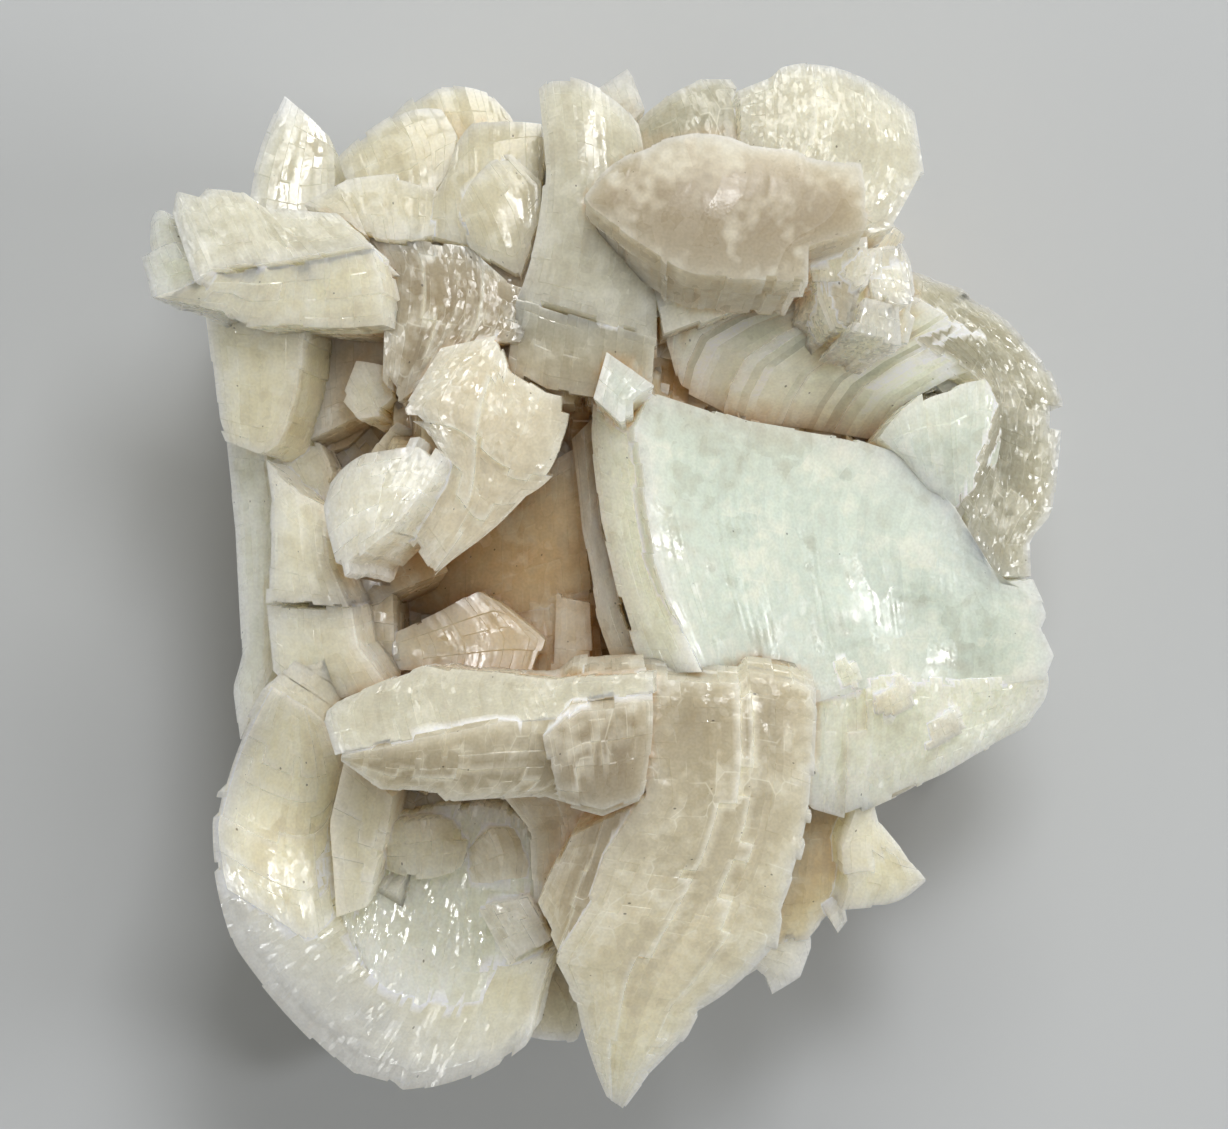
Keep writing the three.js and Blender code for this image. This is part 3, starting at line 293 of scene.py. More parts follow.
        Blade(18.2, (0.2, 0.2, -2.6), slope=(-0.03, -0.06), bend=(-0.03, 0, -0.08), tint="brown", sparkle=0,
              frost=0.42, swell=0.02, terrace=0.002, drift=0, lean=0.001, bands=0.01, edges=[
            [(-0.3, 11.4), (0.9, 10.4), (1.8, 9.8, 0.1), (2.9, 9.2)],
            [(6.2, 9.1), (6.2, 10.2), (7.9, 10.7, 0.1)], [(7.8, 12.8), (4.4, 13.2, 0.2), (2.4, 13.5, 0.2)],
            [(0, 12.3), (-0.5, 11.7)]]),
        Blade(15.2, (0, 0.3, -5), slope=(-0.1, 0.2), edges=[
            [(1.9, 7.5), (4, 8.3)], [(8, 9.4)], [(7.6, 12.6)], [(0.9, 12.7), (1.4, 9.7)]]),
        Blade(14.9, (0.1, -0.4, -3.8), slope=(0, -0.5), bend=(-0.14, 0, -0.1), tint="grey", lean=0.004,
              sparkle=0.4, edges=[
            [(1.2, 12.8)], [(4.5, 13.1), (4.3, 14.7)], [(3.9, 15.3), (3, 15.3, 0.15)], [(1, 13.9)]]),
        Blade(15.6, (-0.5, -0.4, -4.2), slope=(-0.25, -0.3), bend=(-0.07, 0, -0.07), tint="frost",
              lean=0.004, sparkle=0.6, frost=0.2, ledges=[("u", 0.45, -0.35)], edges=[
            [(4.2, 13)], [(8, 10.6), (8.8, 10.8), (9.2, 11.5), (9.7, 12.4)],
            [(9.4, 14.3, 0.15), (7.2, 15.6, 0.15), (5.4, 15.6), (5.1, 15.3)], [(4.1, 14.9)]]),
        Blade(15, (-0.2, 0, -4.6), slope=(-0.35, 0.25), tint="pale", swell=0.7, sparkle=0.8, frost=0.12,
              saw=0.4, ledges=[("v", 0.5, 0.4), ("u", 0.55, -0.4)], edges=[
            [(6.8, 7.8), (8, 7.4)], [(9.2, 7.2), (9.6, 8.7)], [(9.4, 9.6), (9, 10.4), (8.8, 10.8)],
            [(6.2, 10.3), (6.4, 8.7)]]),
        Blade(15.5, (-0.2, 0.1, -3), slope=(0.45, 0.3), tint="pink", sparkle=1, frost=0.12, saw=0.3, edges=[
            [(6.4, 8.3)], [(7.5, 7.9)], [(7.8, 9.2), (7.1, 9.6)], [(6.3, 9.5)]]),
        Blade(15.7, (0, 0.1, -3), slope=(-0.4, 0.45), tint="pale", sparkle=1, frost=0.12, saw=0.3, edges=[
            [(7.4, 7.6), (8.2, 7.4)], [(9, 7.3)], [(8.9, 8.5)], [(7.7, 8.8)]]),
        Blade(15.4, (-0.2, 0, -3), slope=(-0.25, -0.4), tint="pale", sparkle=1, frost=0.12, saw=0.3, edges=[
            [(8.2, 8.6)], [(9.4, 8.5)], [(9.1, 9.8)], [(7.9, 9.9)]]),
        Blade(15.9, (0, -0.1, -3), slope=(0.3, -0.35), tint="pale", sparkle=1, frost=0.12, saw=0.3, edges=[
            [(6.8, 9.3), (7.6, 8.8)], [(8.2, 9.1)], [(8.4, 10.2)], [(7, 10.4)]]),
        Blade(13, (0, -0.6, -4), slope=(0.1, -0.3), tint="white", edges=[
            [(0.3, 14.4)], [(1, 14), (1.4, 14.4)], [(1, 15.4), (0.8, 15.7)], [(-0.2, 15)]]),
    ],
    "column": [
        Blade(16.4, (0.2, -0.3, -4), slope=(-0.05, -0.04), bend=(-0.16, 0.02, -0.05), tint="frost",
              lean=0.005, edges=[
            [(-2.5, 8.7), (0, 8)], [(1.7, 7.5, 0.1), (1.4, 11.7, 0.1)],
            [(1.2, 13.8, 0.15), (-0.3, 15.1, 0.1), (-1.5, 15.3)], [(-1.9, 14.9), (-1.7, 12.7, -0.2)]]),
        Blade(15.3, (0.2, 0.4, -5), slope=(-0.1, 0.35), bend=(-0.1, 0, 0), tint="tan", far="grey",
              lean=0.005, edges=[
            [(-2.8, 6.6), (-1.6, 5.9), (-0.2, 5.7)], [(1.6, 6.1)], [(1.7, 7.5), (0, 8)], [(-2.5, 8.8)]]),
        Blade(12.6, (0, 0, -4), tint="wall", under=True, edges=[
            [(-7, 7.6), (1, 8.6)], [(7.6, 8.4)], [(7, 12.6), (-1, 13)], [(-7.8, 11.4)]]),
    ],
    "petals": [
        Blade(11.9, (0, -0.6, -3.6), slope=(0, -0.35), bend=(-0.06, 0, -0.06), tint="petal", edges=[
            [(-5.4, 12.2), (-3.6, 12)], [(-2.1, 13.2)], [(-2.7, 14.3), (-3.3, 15, 0.1), (-5, 15.3, 0.1)],
            [(-6.4, 14.1)]]),
        Blade(13.2, (0.3, -0.4, -3.8), slope=(0, -0.3), bend=(-0.06, 0, -0.06), tint="petal", edges=[
            [(-7.3, 11.2), (-5.4, 11.2)], [(-4.5, 12.5), (-4.3, 13.7)],
            [(-4.8, 14.5, 0.1), (-6, 14.4, 0.1)], [(-7.9, 13)]]),
        Blade(14.4, (0.1, -0.3, -4.5), slope=(0.1, -0.3), bend=(-0.06, 0, -0.06), tint="petal", edges=[
            [(-5.1, 10.6), (-3.9, 10.3)], [(-1.7, 12.2)], [(-1.7, 14, 0.1), (-3.8, 14, 0.15)],
            [(-4.5, 12.6), (-5, 11.7)]]),
        Blade(15.1, (0, 0, -4), slope=(0, -0.15), bend=(-0.15, 0, -0.08), tint="petal", edges=[
            [(-3.9, 10.2), (-2.4, 9.2)], [(-1.8, 11), (-1.7, 12.2)], [(-2.6, 13, 0.15), (-3.6, 12.6, 0.1)],
            [(-4.2, 11.4)]]),
        Blade(14.2, (0, 0, -4), slope=(0.05, -0.45), tint="petal", edges=[
            [(-7.8, 11.2), (-7, 10.6), (-6, 10.4)], [(-4.9, 10.6)], [(-4.6, 12), (-6, 12.5), (-7.7, 12.3)],
            [(-9, 11.5)]]),
        Blade(12.9, (0.4, -0.9, -4.5), slope=(-0.1, -0.2), bend=(-0.06, 0, 0), tint="frost", edges=[
            [(-10.6, 11.5), (-9, 11.2)], [(-7.8, 11.7), (-7.9, 13.2)], [(-8.1, 13.6), (-8.7, 14.2)],
            [(-9.5, 14.9, 0.1), (-10.5, 12.2)]]),
    ],
    "left_block": [
        Blade(16.9, (0.4, 0.1, -3.6), slope=(0.04, -0.65), tint="frost", sparkle=0.25, edges=[
            [(-12, 9.1), (-11.5, 9.5), (-10.2, 9.6), (-8.1, 10)], [(-6.8, 10.3)],
            [(-7.8, 11.2), (-10, 11.4), (-10.6, 11.9), (-11.7, 12), (-11.9, 11.7), (-12.6, 11.9)],
            [(-12.7, 11.2)]]),
        Blade(16.5, (0.9, 0, -3.6), slope=(0.7, -0.55), tint="bright", swell=0.5, sparkle=0.8, frost=0.12,
              saw=0.3, ledges=[("v", 0.5, -0.3)], edges=[
            [(-13.3, 8.7)], [(-12, 9.1), (-11.5, 9.5)], [(-12.7, 11.3), (-13.2, 11.4)],
            [(-13.5, 10.8), (-13.7, 10.1)]]),
        Blade(17, (0.2, 0.6, -4), slope=(-0.1, 0.5), bend=(-0.02, 0, 0), tint="pale", sparkle=0.15, saw=0.2,
              ledges=[("v", 0.5, 0.18)], edges=[
            [(-13.3, 8.7), (-12.9, 8.6), (-11.2, 8.3), (-10.8, 7.8), (-7.6, 7.7)], [(-6.3, 7.8, 0.1)],
            [(-6.8, 10.3), (-8.1, 10), (-10.2, 9.6), (-11.5, 9.4)], [(-12, 9.1)]]),
        Blade(12.2, (0, 0, -4), tint="wall", under=True, edges=[
            [(-9.4, 4.2)], [(-5.2, 6.2)], [(-4, 9.4)], [(-10.4, 10)]]),
    ],
    "left_flank": [
        Blade(14, (0.7, 0, -5), slope=(0.2, 0.12), bend=(-0.05, 0, 0), edges=[
            [(-11.2, 4.4), (-10.2, 4)], [(-9.6, 4.4, 0.1), (-8.9, 6.3)], [(-8.8, 8)],
            [(-11.9, 8.3), (-11.5, 5.1)]]),
        Blade(11, (0, 0, -4), slope=(-0.2, 0.2), tint="amber", edges=[
            [(-9.2, 3.8), (-7.6, 4.2)], [(-6.1, 5.7)], [(-6.2, 8)], [(-9.1, 7.9)]]),
        Blade(11.3, (1.1, 0, -6), slope=(0.3, 0), tint="bright", edges=[
            [(-10.9, -4.6), (-9.9, -2.5)], [(-9.6, -1.8), (-9.7, 2)], [(-10, 4.3)],
            [(-11.3, 4.7), (-11, 1.8), (-10.8, -2), (-11.1, -3)]]),
        Blade(13.9, (0.4, 0, -4.5), slope=(0.15, -0.1), bend=(-0.08, 0, 0), tint="pale", edges=[
            [(-10, -0.4)], [(-7.4, -0.5), (-8, 0.8)], [(-8.2, 2.5), (-9, 2.9)], [(-10.1, 4), (-9.9, 2.7)]]),
        Blade(13.6, (0.3, 0.3, -4.5), slope=(0.15, 0.2), bend=(-0.08, 0, 0), tint="pale", edges=[
            [(-9.8, -2.5), (-9.2, -3.1), (-8.4, -3.5)], [(-6.4, -2.8), (-7.2, -1.7)], [(-7.4, -0.5)],
            [(-10, -0.4)]]),
        Blade(11.8, (0, 0, -3.5), slope=(-0.1, 0.1), edges=[
            [(-9.5, 3.1), (-8.2, 2.5)], [(-8, 3.6)], [(-8.4, 4.4, 0.1), (-9.3, 4.4)], [(-10, 4)]]),
    ],
    "middle_blades": [
        Blade(15.1, (0, 0.2, -4.5), slope=(0.1, -0.1), bend=(-0.03, 0, -0.05), tint="brown", sparkle=0.4,
              frost=0.2, saw=0.35, ledges=[("u", 0.35, 0.3), ("u", 0.65, 0.3)], edges=[
            [(-6.5, 6.3), (-6, 5.6), (-4.8, 6.5)], [(-3.6, 7.4), (-2.3, 7.4)],
            [(-1.9, 9), (-2.8, 9.3), (-3.9, 10.3)], [(-7, 10.7), (-6.4, 9.8)]]),
        Blade(16, (-0.2, 0.7, -3), slope=(-0.12, 0.1), bend=(-0.06, 0.03, -0.04), tint="pink", sparkle=0.5,
              frost=0.2, saw=0.35, ledges=[("v", 0.3, 0.3), ("v", 0.6, 0.3), ("u", 0.5, -0.3)], edges=[
            [(-5.8, 1.4), (-5.1, 0.3)], [(-4.3, 1, 0.1), (-2.2, 2.8, 0.25), (-0.9, 4.4, 0.1)],
            [(-0.7, 5.7), (-1.6, 5.9), (-2.7, 6.6), (-3, 7.6)],
            [(-4.8, 7.2), (-6, 5.3), (-5.2, 4.8), (-4.7, 4), (-5.1, 2.3)]]),
        Blade(17.2, (0.3, -0.2, -2.8), slope=(0.12, -0.12), bend=(-0.07, 0, -0.05), tint="white",
              sparkle=0.4, saw=0.3,
              ledges=[("v", 0.25, 0.25), ("v", 0.5, -0.25), ("v", 0.75, -0.25), ("u", 0.5, -0.25)], edges=[
            [(-7.7, 0.3), (-7, 0.9)], [(-6.1, 1.8), (-4.9, 3.2)],
            [(-4.5, 3.8), (-5.2, 4.6), (-6.9, 4.4, 0.1)], [(-7.9, 3.5), (-8.2, 2.5), (-8.1, 1.8)]]),
        Blade(13.8, (0.2, 0, -3.5), slope=(0.2, -0.1), edges=[
            [(-7.3, 5.1), (-6.4, 5.2)], [(-6.1, 5.7)], [(-6.3, 6.7), (-7.3, 6.9)], [(-7.8, 5.6)]]),
    ],
    "pocket": [
        Blade(10.9, (0, 0, -3), slope=(-0.15, -0.2), tint="gap", frost=0.4, edges=[
            [(-6.2, -2.4)], [(-2, -2.6), (-1.6, -1.5)], [(-3, -0.4), (-3.7, 0), (-4.8, -0.6)],
            [(-6.4, -1.4)]]),
        Blade(11.7, (0, 0, -3.5), slope=(-0.4, 0), tint="gap", ledges=[("v", 0.5, 0.25)], edges=[
            [(-7.5, -2.4)], [(-6.2, -2.4)], [(-6.2, 0.3)], [(-8, 0.6)]]),
        Blade(9.9, (0, 0, -3), slope=(0.3, -0.2), tint="gap", edges=[
            [(-2.4, -2.7)], [(0.1, -2.5)], [(-0.1, 0)], [(-2.6, -0.3)]]),
        Blade(10.1, (0, 0, -3), slope=(0.1, 0.4), tint="gap", edges=[
            [(-6.7, -1.7), (-3, -0.8)], [(-0.2, -0.3)], [(-0.6, 4.4), (-2.5, 3.2)], [(-6.4, 1.4)]]),
        Blade(10.8, (0, 0, -3), slope=(0.3, -0.1), tint="pink", edges=[
            [(-1.5, -2.6)], [(-0.2, -2.6)], [(-0.3, -0.3)], [(-1.4, -0.1)]]),
    ],
    "corner_crystals": [
        Blade(10.4, (-0.4, 0.3, -4), slope=(-0.15, 0.1), bend=(-0.05, 0, -0.05), ledges=[("v", 0.5, 0.25)],
              edges=[
            [(7.2, -9.7), (8.6, -9.6, 0.05)], [(9.4, -9.2), (9.9, -8.8)],
            [(9.1, -7.8), (8.4, -6.9), (8.3, -6.3)], [(7.7, -6.7), (7.3, -7.8), (7.4, -9.1)]]),
        Blade(9.2, (-0.5, 0.8, -4.5), slope=(0.1, 0.15), tint="amber", edges=[
            [(5.2, -10.8), (6.3, -10.6), (6.8, -10)], [(7.2, -9.7), (7.5, -9.1)], [(7.3, -6.7)],
            [(6.1, -6.5)]]),
        Blade(8.6, (-0.4, 0.9, -3.5), slope=(0.05, 0.1), tint="white", edges=[
            [(5.2, -12.4), (6.1, -11.9)], [(6.4, -11), (6.4, -10.4)], [(5.2, -10.6)],
            [(4.6, -11.4), (5, -11.8)]]),
        Blade(9.6, (-0.3, 0.6, -2.4), edges=[[(7.2, -10.4)], [(7.5, -10)], [(7.4, -9.4)], [(6.9, -9.9)]]),
    ],
}

# The grown-together middle, and the corner of it from which the flanks' blades are counted
CORE_EDGES = [
    [(-9.2, -8), (-7.5, -10.9), (-4.2, -12), (0.1, -11.8), (3.3, -10.1)],
    [(6.1, -7.7), (10.7, -3.2), (11.2, 0.6)],
    [(11, 5.2), (8.2, 7.6), (7.4, 12), (3.8, 12.8), (-1, 12.6), (-5.2, 12)],
    [(-8.2, 11), (-10.2, 9), (-9.3, 5), (-8.8, 0), (-8.6, -4)],
]
FLANK_START = CORE_EDGES[1][1]


def linear(hex_colour):
    """An sRGB hex colour as linear numbers."""
    srgb = np.array([int(hex_colour[k:k + 2], 16) / 255 for k in (1, 3, 5)])
    return np.where(srgb <= 0.04045, srgb / 12.92, ((srgb + 0.055) / 1.055) ** 2.4)


def edge_line(edges, i):
    """Points along edge i: a straight stretch keeps its ends, and a bowed one is the parabola
    start + t (end - start) + 4 bow t (1 - t) along its outward normal."""
    following = edges[(i + 1) % 4][0]
    runs = []
    for start, end in zip(edges[i], [*edges[i][1:], following]):
        bow = start[2] if len(start) > 2 else 0
        way = np.subtract(end[:2], start[:2])
        out = np.array([way[1], -way[0]]) / np.hypot(*way)
        t = np.linspace(0, 1, ARC_POINTS if bow else 2)[:-1, None]
        runs.append(np.array(start[:2]) + t * way + 4 * bow * t * (1 - t) * out)
    return np.vstack([*runs, [following[:2]]])


def run_along(line):
    """The length of a line up to each of its points."""
    return np.concatenate([[0], np.cumsum(np.hypot(*np.diff(line, axis=0).T))])


def walk(line, shares):
    """The points at some shares of a line's length."""
    run = run_along(line)
    return np.stack([np.interp(shares, run / run[-1], line[:, k]) for k in (0, 1)], axis=-1)


def sweep(line):
    """The gentle part of an edge: its chord and the first two sine waves of what is left."""
    t = np.linspace(0, 1, SWEEP_POINTS)
    points = walk(line, t)
    chord = points[0] + t[:, None] * (points[-1] - points[0])
    waves = np.sin(np.pi * np.outer((1, 2), t))
    return chord + waves.T @ (waves @ (points - chord)) * 2 / (len(t) - 1)


def face_plan(lines, size, u, v):
    """Where the point (u, v) of a face lies. The sweeps of facing edges are blended both ways, less
    the blend of the four corners, which both hold. What an edge adds to its sweep fades inwards."""
    shares = (u, v, 1 - u, 1 - v)
    inward = (v * size[1], (1 - u) * size[0], (1 - v) * size[1], u * size[0])
    sweeps = [sweep(line) for line in lines]
    front, right, back, left = (walk(line, share) for line, share in zip(sweeps, shares))
    corners = [line[0] for line in lines]
    s, t = u[..., None], v[..., None]
    plan = ((1 - t) * front + t * back + (1 - s) * left + s * right
            - (1 - s) * (1 - t) * corners[0] - s * (1 - t) * corners[1]
            - s * t * corners[2] - (1 - s) * t * corners[3])
    for line, gentle, share, depth in zip(lines, sweeps, shares, inward):
        fades = np.clip(1 - depth / EDGE_FADE, 0, 1)[..., None]
        plan += (walk(line, share) - walk(gentle, share)) * fades
    return plan


def block_lines(length, block, rng):
    """Shares at which a face is divided, as three lines to each block, two of them just inside its
    borders, so that the step to the next is sharp. Also each line's block, and its place in it."""
    count = max(3, round(length / block))
    widths = rng.uniform(*WIDTHS, count)
    bounds = np.concatenate([[0], np.cumsum(widths)]) / widths.sum()
    inside = np.linspace(BORDER, 1 - BORDER, 3)
    shares = bounds[:-1, None] + np.diff(bounds)[:, None] * inside
    shares[0, 0], shares[-1, -1] = 0, 1
    return shares.ravel(), np.repeat(np.arange(count), len(inside)), np.tile(inside - 0.5, count)


def runs_of(rng, count, chance, lanes):
    """Numbers 0, 0, 1, 1, 1, 2 ... down each lane: neighbours that share one go on as one block."""
    return np.cumsum(rng.random((count, lanes)) < chance, axis=0)


def slow_noise(rng, rows, columns, across, down):
    """Random values on a grid of across by down cells, drawn out to rows by columns."""
    coarse = rng.random((max(2, round(down)) + 1, max(2, round(across)) + 1))
    y, x = (np.linspace(0, cells - 1, lines) for cells, lines in zip(coarse.shape, (rows, columns)))
    y, x = (np.floor(k) + (k % 1) ** 2 * (3 - 2 * (k % 1)) for k in (y, x))
    wide = np.stack([np.interp(x, np.arange(coarse.shape[1]), line) for line in coarse])
    return np.stack([np.interp(y, np.arange(coarse.shape[0]), line) for line in wide.T], axis=1)


def rim_saw(blade, length, lanes, rng):
    """How far the blocks at both ends of each lane stand back, as a share of the lane's length."""
    stand = np.square(rng.random((lanes + 1, 2)))
    return blade.saw / length * stand[runs_of(rng, lanes, RIM_CHANGES, 2), [0, 1]]


def sawn(blade, size, u, v, u_block, v_block, rng):
    """The face's u and v with blocks at the rim that stand back, which fades within a short way."""
    saw_u = rim_saw(blade, size[0], v_block[-1] + 1, rng)[v_block]
    saw_v = rim_saw(blade, size[1], u_block[-1] + 1, rng)[u_block]
    left, right = (np.clip(1 - inward * size[0] / SAW_FADE, 0, 1) for inward in (u, 1 - u))
    front, back = (np.clip(1 - inward * size[1] / SAW_FADE, 0, 1) for inward in (v, 1 - v))
    return (u + saw_u[:, :1] * left - saw_u[:, 1:] * right,
            v + saw_v[:, 0] * front - saw_v[:, 1] * back)


def base_level(blade, size, plan, middle, rng):
    """A face's height before it is divided: its level, slope and bend, and a slow swell."""
    dx, dy = np.moveaxis(plan - (blade.about or middle), -1, 0)
    waves = slow_noise(rng, *plan.shape[:2], size[0] / SWELL_PATCH, size[1] / SWELL_PATCH)
    swell = blade.swell * (waves - 0.5)
    level = blade.height + blade.slope[0] * dx + blade.slope[1] * dy + swell
    return level + blade.bend[0] * dx * dx + blade.bend[1] * dx * dy + blade.bend[2] * dy * dy


def mosaic(blade, size, rows, columns, rng):
    """How far each block is raised: growth steps, which are slow noise cut to whole steps; a step
    down at the rim; and a drift of its own for each run of blocks along the grain. Also each
    block's lean, and its share of light."""
    patches = size[0] / GROWTH_PATCH[0], size[1] / GROWTH_PATCH[1]
    levels = np.floor(GROWTH_LEVELS * slow_noise(rng, rows, columns, *patches))
    i, j = np.arange(columns), np.arange(rows)
    inward = np.minimum.outer(np.minimum(j, rows - 1 - j), np.minimum(i, columns - 1 - i))
    levels += np.minimum(inward + rng.integers(0, 2, (rows, columns)), 2) - 2
    run = runs_of(rng, rows, FACE_CHANGES, columns)
    drift = rng.normal(0, 1, (rows + 1, columns))[run, i]
    lean = rng.normal(0, 1, (rows + 1, columns))[run, i]
    return blade.terrace * levels + blade.drift * drift, blade.lean * lean, 1 + blade.bands * drift


def ledge_steps(blade, size, rows, columns, rng):
    """How far each block is raised by the ledges it lies past. A ledge's line wanders in steps of
    a block from lane to lane, so it looks like a stair."""
    raised = np.zeros((rows, columns))
    u, v = (np.arange(columns) + 0.5) / columns, (np.arange(rows) + 0.5) / rows
    for axis, at, rise in blade.ledges:
        lanes = rows if axis == "u" else columns
        strides = blade.stair / size[0 if axis == "u" else 1]
        wander = np.cumsum(rng.integers(-1, 2, lanes) * (rng.random(lanes) < LEDGE_CHANGES))
        line = at + strides * (wander - wander.mean())
        past = u[None] > line[:, None] if axis == "u" else v[:, None] > line[None]
        raised += LEDGE_SHARE * rise * past
    return raised


def face_rim(u_block, v_block):
    """The rim's points, against the clock from the corner at (0, 0), and the lane of each, which
    is the number of its block round the rim."""
    n, m = len(u_block), len(v_block)
    columns, rows = u_block[-1] + 1, v_block[-1] + 1
    rim = [np.arange(n - 1), np.arange(m - 1) * n + n - 1,
           np.arange(n - 1, 0, -1) + (m - 1) * n, np.arange(m - 1, 0, -1) * n]
    lane = [u_block[:-1], columns + v_block[:-1],
            2 * columns + rows - 1 - u_block[:0:-1], 2 * (columns + rows) - 1 - v_block[:0:-1]]
    return np.concatenate(rim), np.concatenate(lane)


def wall_rings(blade, top, level, middle, lane, rng):
    """The rings under the rim: one just inside each growth layer's upper and lower border, with
    the blocks of a layer in or out, then those that close the root. Also how far down each is,
    and those behind the root go on by a millimetre each."""
    way = np.array(blade.into, float)
    way[:2] -= blade.radiate * middle
    depth = abs(way[2])
    layers = max(3, round(depth / LAYER))
    bounds = np.cumsum(np.concatenate([[0], rng.uniform(*WIDTHS, layers)]))
    bounds /= bounds[-1]
    down = (bounds[:-1, None] + np.diff(bounds)[:, None] * [BORDER, 1 - BORDER]).ravel()[1:]
    layer = np.repeat(np.arange(layers), 2)[1:]
    lanes = lane.max() + 1
    stand = rng.random((layers + 1, lanes))
    stand = stand[runs_of(rng, layers, WALL_CHANGES, lanes), np.arange(lanes)]
    inset = WALL_SAW * (stand + rng.random((layers, 1)))[layer][:, lane]
    inset[0] = 0
    width = np.interp(down, *np.transpose(WALL_PROFILE)) if blade.narrows else np.ones(len(down))
    width, share = width[:, None, None], down[:, None, None]
    arm = top[:, :2] - middle
    out = arm / np.hypot(*arm.T)[:, None]
    plan = middle + arm * width - out * inset[..., None] + way[:2] * share
    z = level + (top[:, 2] - level) * (1 - down[:, None]) ** RELIEF_FADE + way[2] * down[:, None]
    wall = np.dstack([plan, z])
    root = np.append(middle + way[:2], wall[-1, :, 2].mean())
    behind = [wall[-1] + (root - wall[-1]) * closes for closes in ROOT_CLOSES]
    drop = np.concatenate([down * depth, depth + 1 + np.arange(len(behind))])
    return np.concatenate([wall, behind]), drop


def closed_faces(n, m, rim, rings):
    """Quads of a face of m by n points, quads between the rings under its rim, and triangles to
    the last point, which closes the root."""
    around = len(rim)
    a = (np.arange(m - 1)[:, None] * n + np.arange(n - 1)).ravel()
    face_quads = np.stack([a, a + 1, a + n + 1, a + n], axis=1)
    ring = np.vstack([rim, n * m + np.arange(rings * around).reshape(rings, around)])
    beside = np.roll(ring, -1, axis=1)
    wall_quads = np.stack([ring[:-1], ring[1:], beside[1:], beside[:-1]], axis=-1).reshape(-1, 4)
    last = np.full(around, n * m + rings * around)
    return face_quads, wall_quads, np.stack([ring[-1], last, beside[-1]], axis=1)


def grain_uv(across_along, face_quads, top, drop):
    """Millimetres across and along the face's lanes, and round and down the wall, for each corner
    of each face in turn."""
    around = np.arange(len(top))[:, None]
    run = run_along(np.vstack([top, top[:1]])[:, :2])
    drop = np.append(0, drop)
    wall_uv = np.empty((len(drop) - 1, len(top), 4, 2))
    wall_uv[..., 0] = run[around + [0, 0, 1, 1]]
    wall_uv[..., 1] = drop[np.arange(len(drop) - 1)[:, None, None] + [0, 1, 1, 0]]
    cap_uv = np.stack([run[around + [0, 0, 1]], np.full((len(top), 3), drop[-1])], axis=-1)
    face_uv = across_along.reshape(-1, 2)[face_quads]
    return np.concatenate([part.reshape(-1, 2) for part in (face_uv, wall_uv, cap_uv)])


def face_colours(blade, size, u, v, shade, raised):
    """From the near tint to the far one, block by block, with painted glow at edges and painted highlights
    on lips.
    """
    near, far = linear(TINTS[blade.tint]), linear(TINTS[blade.far or blade.tint])
    inward = np.minimum(np.minimum(u, 1 - u) * size[0], np.minimum(v, 1 - v) * size[1])
    # Painted glow: the rim is made lighter
    shade = shade * (1 + RIM_GLOW * np.clip(1 - inward / RIM_WIDTH, 0, 1))
    colours = (near + (far - near) * v[..., None]) * shade[..., None]
    lip = np.zeros(u.shape)
    for axis, before, after in ((0, np.s_[:-1], np.s_[1:]), (1, np.s_[:, :-1], np.s_[:, 1:])):
        rise = np.abs(np.diff(raised, axis=axis))
        lip[before] = np.maximum(lip[before], rise)
        lip[after] = np.maximum(lip[after], rise)
    # Painted glow at the edges and painted highlights on the lips of steps, both in the milky colour
    pale = np.maximum(LIP_HIGHLIGHT * np.minimum(lip / LIP_STEP, 1), EDGE_GLOW * np.exp(-inward / EDGE_REACH))
    return colours + (linear(MILK_AND_HIGHLIGHT) - colours) * pale[..., None]


def blade_mesh(blade, rng):
    """A closed blade on two grids, as points, faces, the grain of each face's corners and the
    colour of each point. Face: its plan at (u, v), raised by its level, ledges and mosaic. Wall:
    the face's rim carried down along into, layer by layer, each one a little narrower; behind the
    root the last ring is drawn together to a point."""
    lines = [edge_line(blade.edges, i) for i in range(4)]
    lengths = [np.hypot(*np.diff(line, axis=0).T).sum() for line in lines]
    size = (lengths[0] + lengths[2]) / 2, (lengths[1] + lengths[3]) / 2
    us, u_block, u_in = block_lines(size[0], blade.block[0], rng)
    vs, v_block, v_in = block_lines(size[1], blade.block[1], rng)
    u, v = np.meshgrid(us, vs)
    sawn_u, sawn_v = sawn(blade, size, u, v, u_block, v_block, rng)
    plan = face_plan(lines, size, sawn_u, sawn_v)
    middle = np.mean([p[:2] for edge in blade.edges for p in edge], axis=0)
    level = base_level(blade, size, plan, middle, rng)
    rows, columns = v_block[-1] + 1, u_block[-1] + 1
    raised, lean, shade = mosaic(blade, size, rows, columns, rng)
    raised = raised + ledge_steps(blade, size, rows, columns, rng)
    nod = rng.normal(0, blade.drift, (rows, columns))
    cell = np.ix_(v_block, u_block)
    z = level + raised[cell] + lean[cell] * u_in[None] + nod[cell] * v_in[:, None]

    face = np.dstack([plan, z]).reshape(-1, 3)
    rim, lane = face_rim(u_block, v_block)
    rings, drop = wall_rings(blade, face[rim], level.ravel()[rim], middle, lane, rng)
    points = np.vstack([face, rings.reshape(-1, 3), rings[-1].mean(0)[None]])
    faces = closed_faces(len(us), len(vs), rim, len(rings))
    spread = rng.uniform(0, GRAIN_SPREAD, 2)
    across_along = np.dstack([sawn_u * size[0], sawn_v * size[1]])
    uv = grain_uv(across_along, faces[0], face[rim], drop) + spread
    colours = face_colours(blade, size, u, v, shade[cell], raised[cell]).reshape(-1, 3)
    colours = np.vstack([colours, *[colours[rim]] * len(rings), linear(TINTS[blade.tint])[None]])
    return points, faces, uv, colours


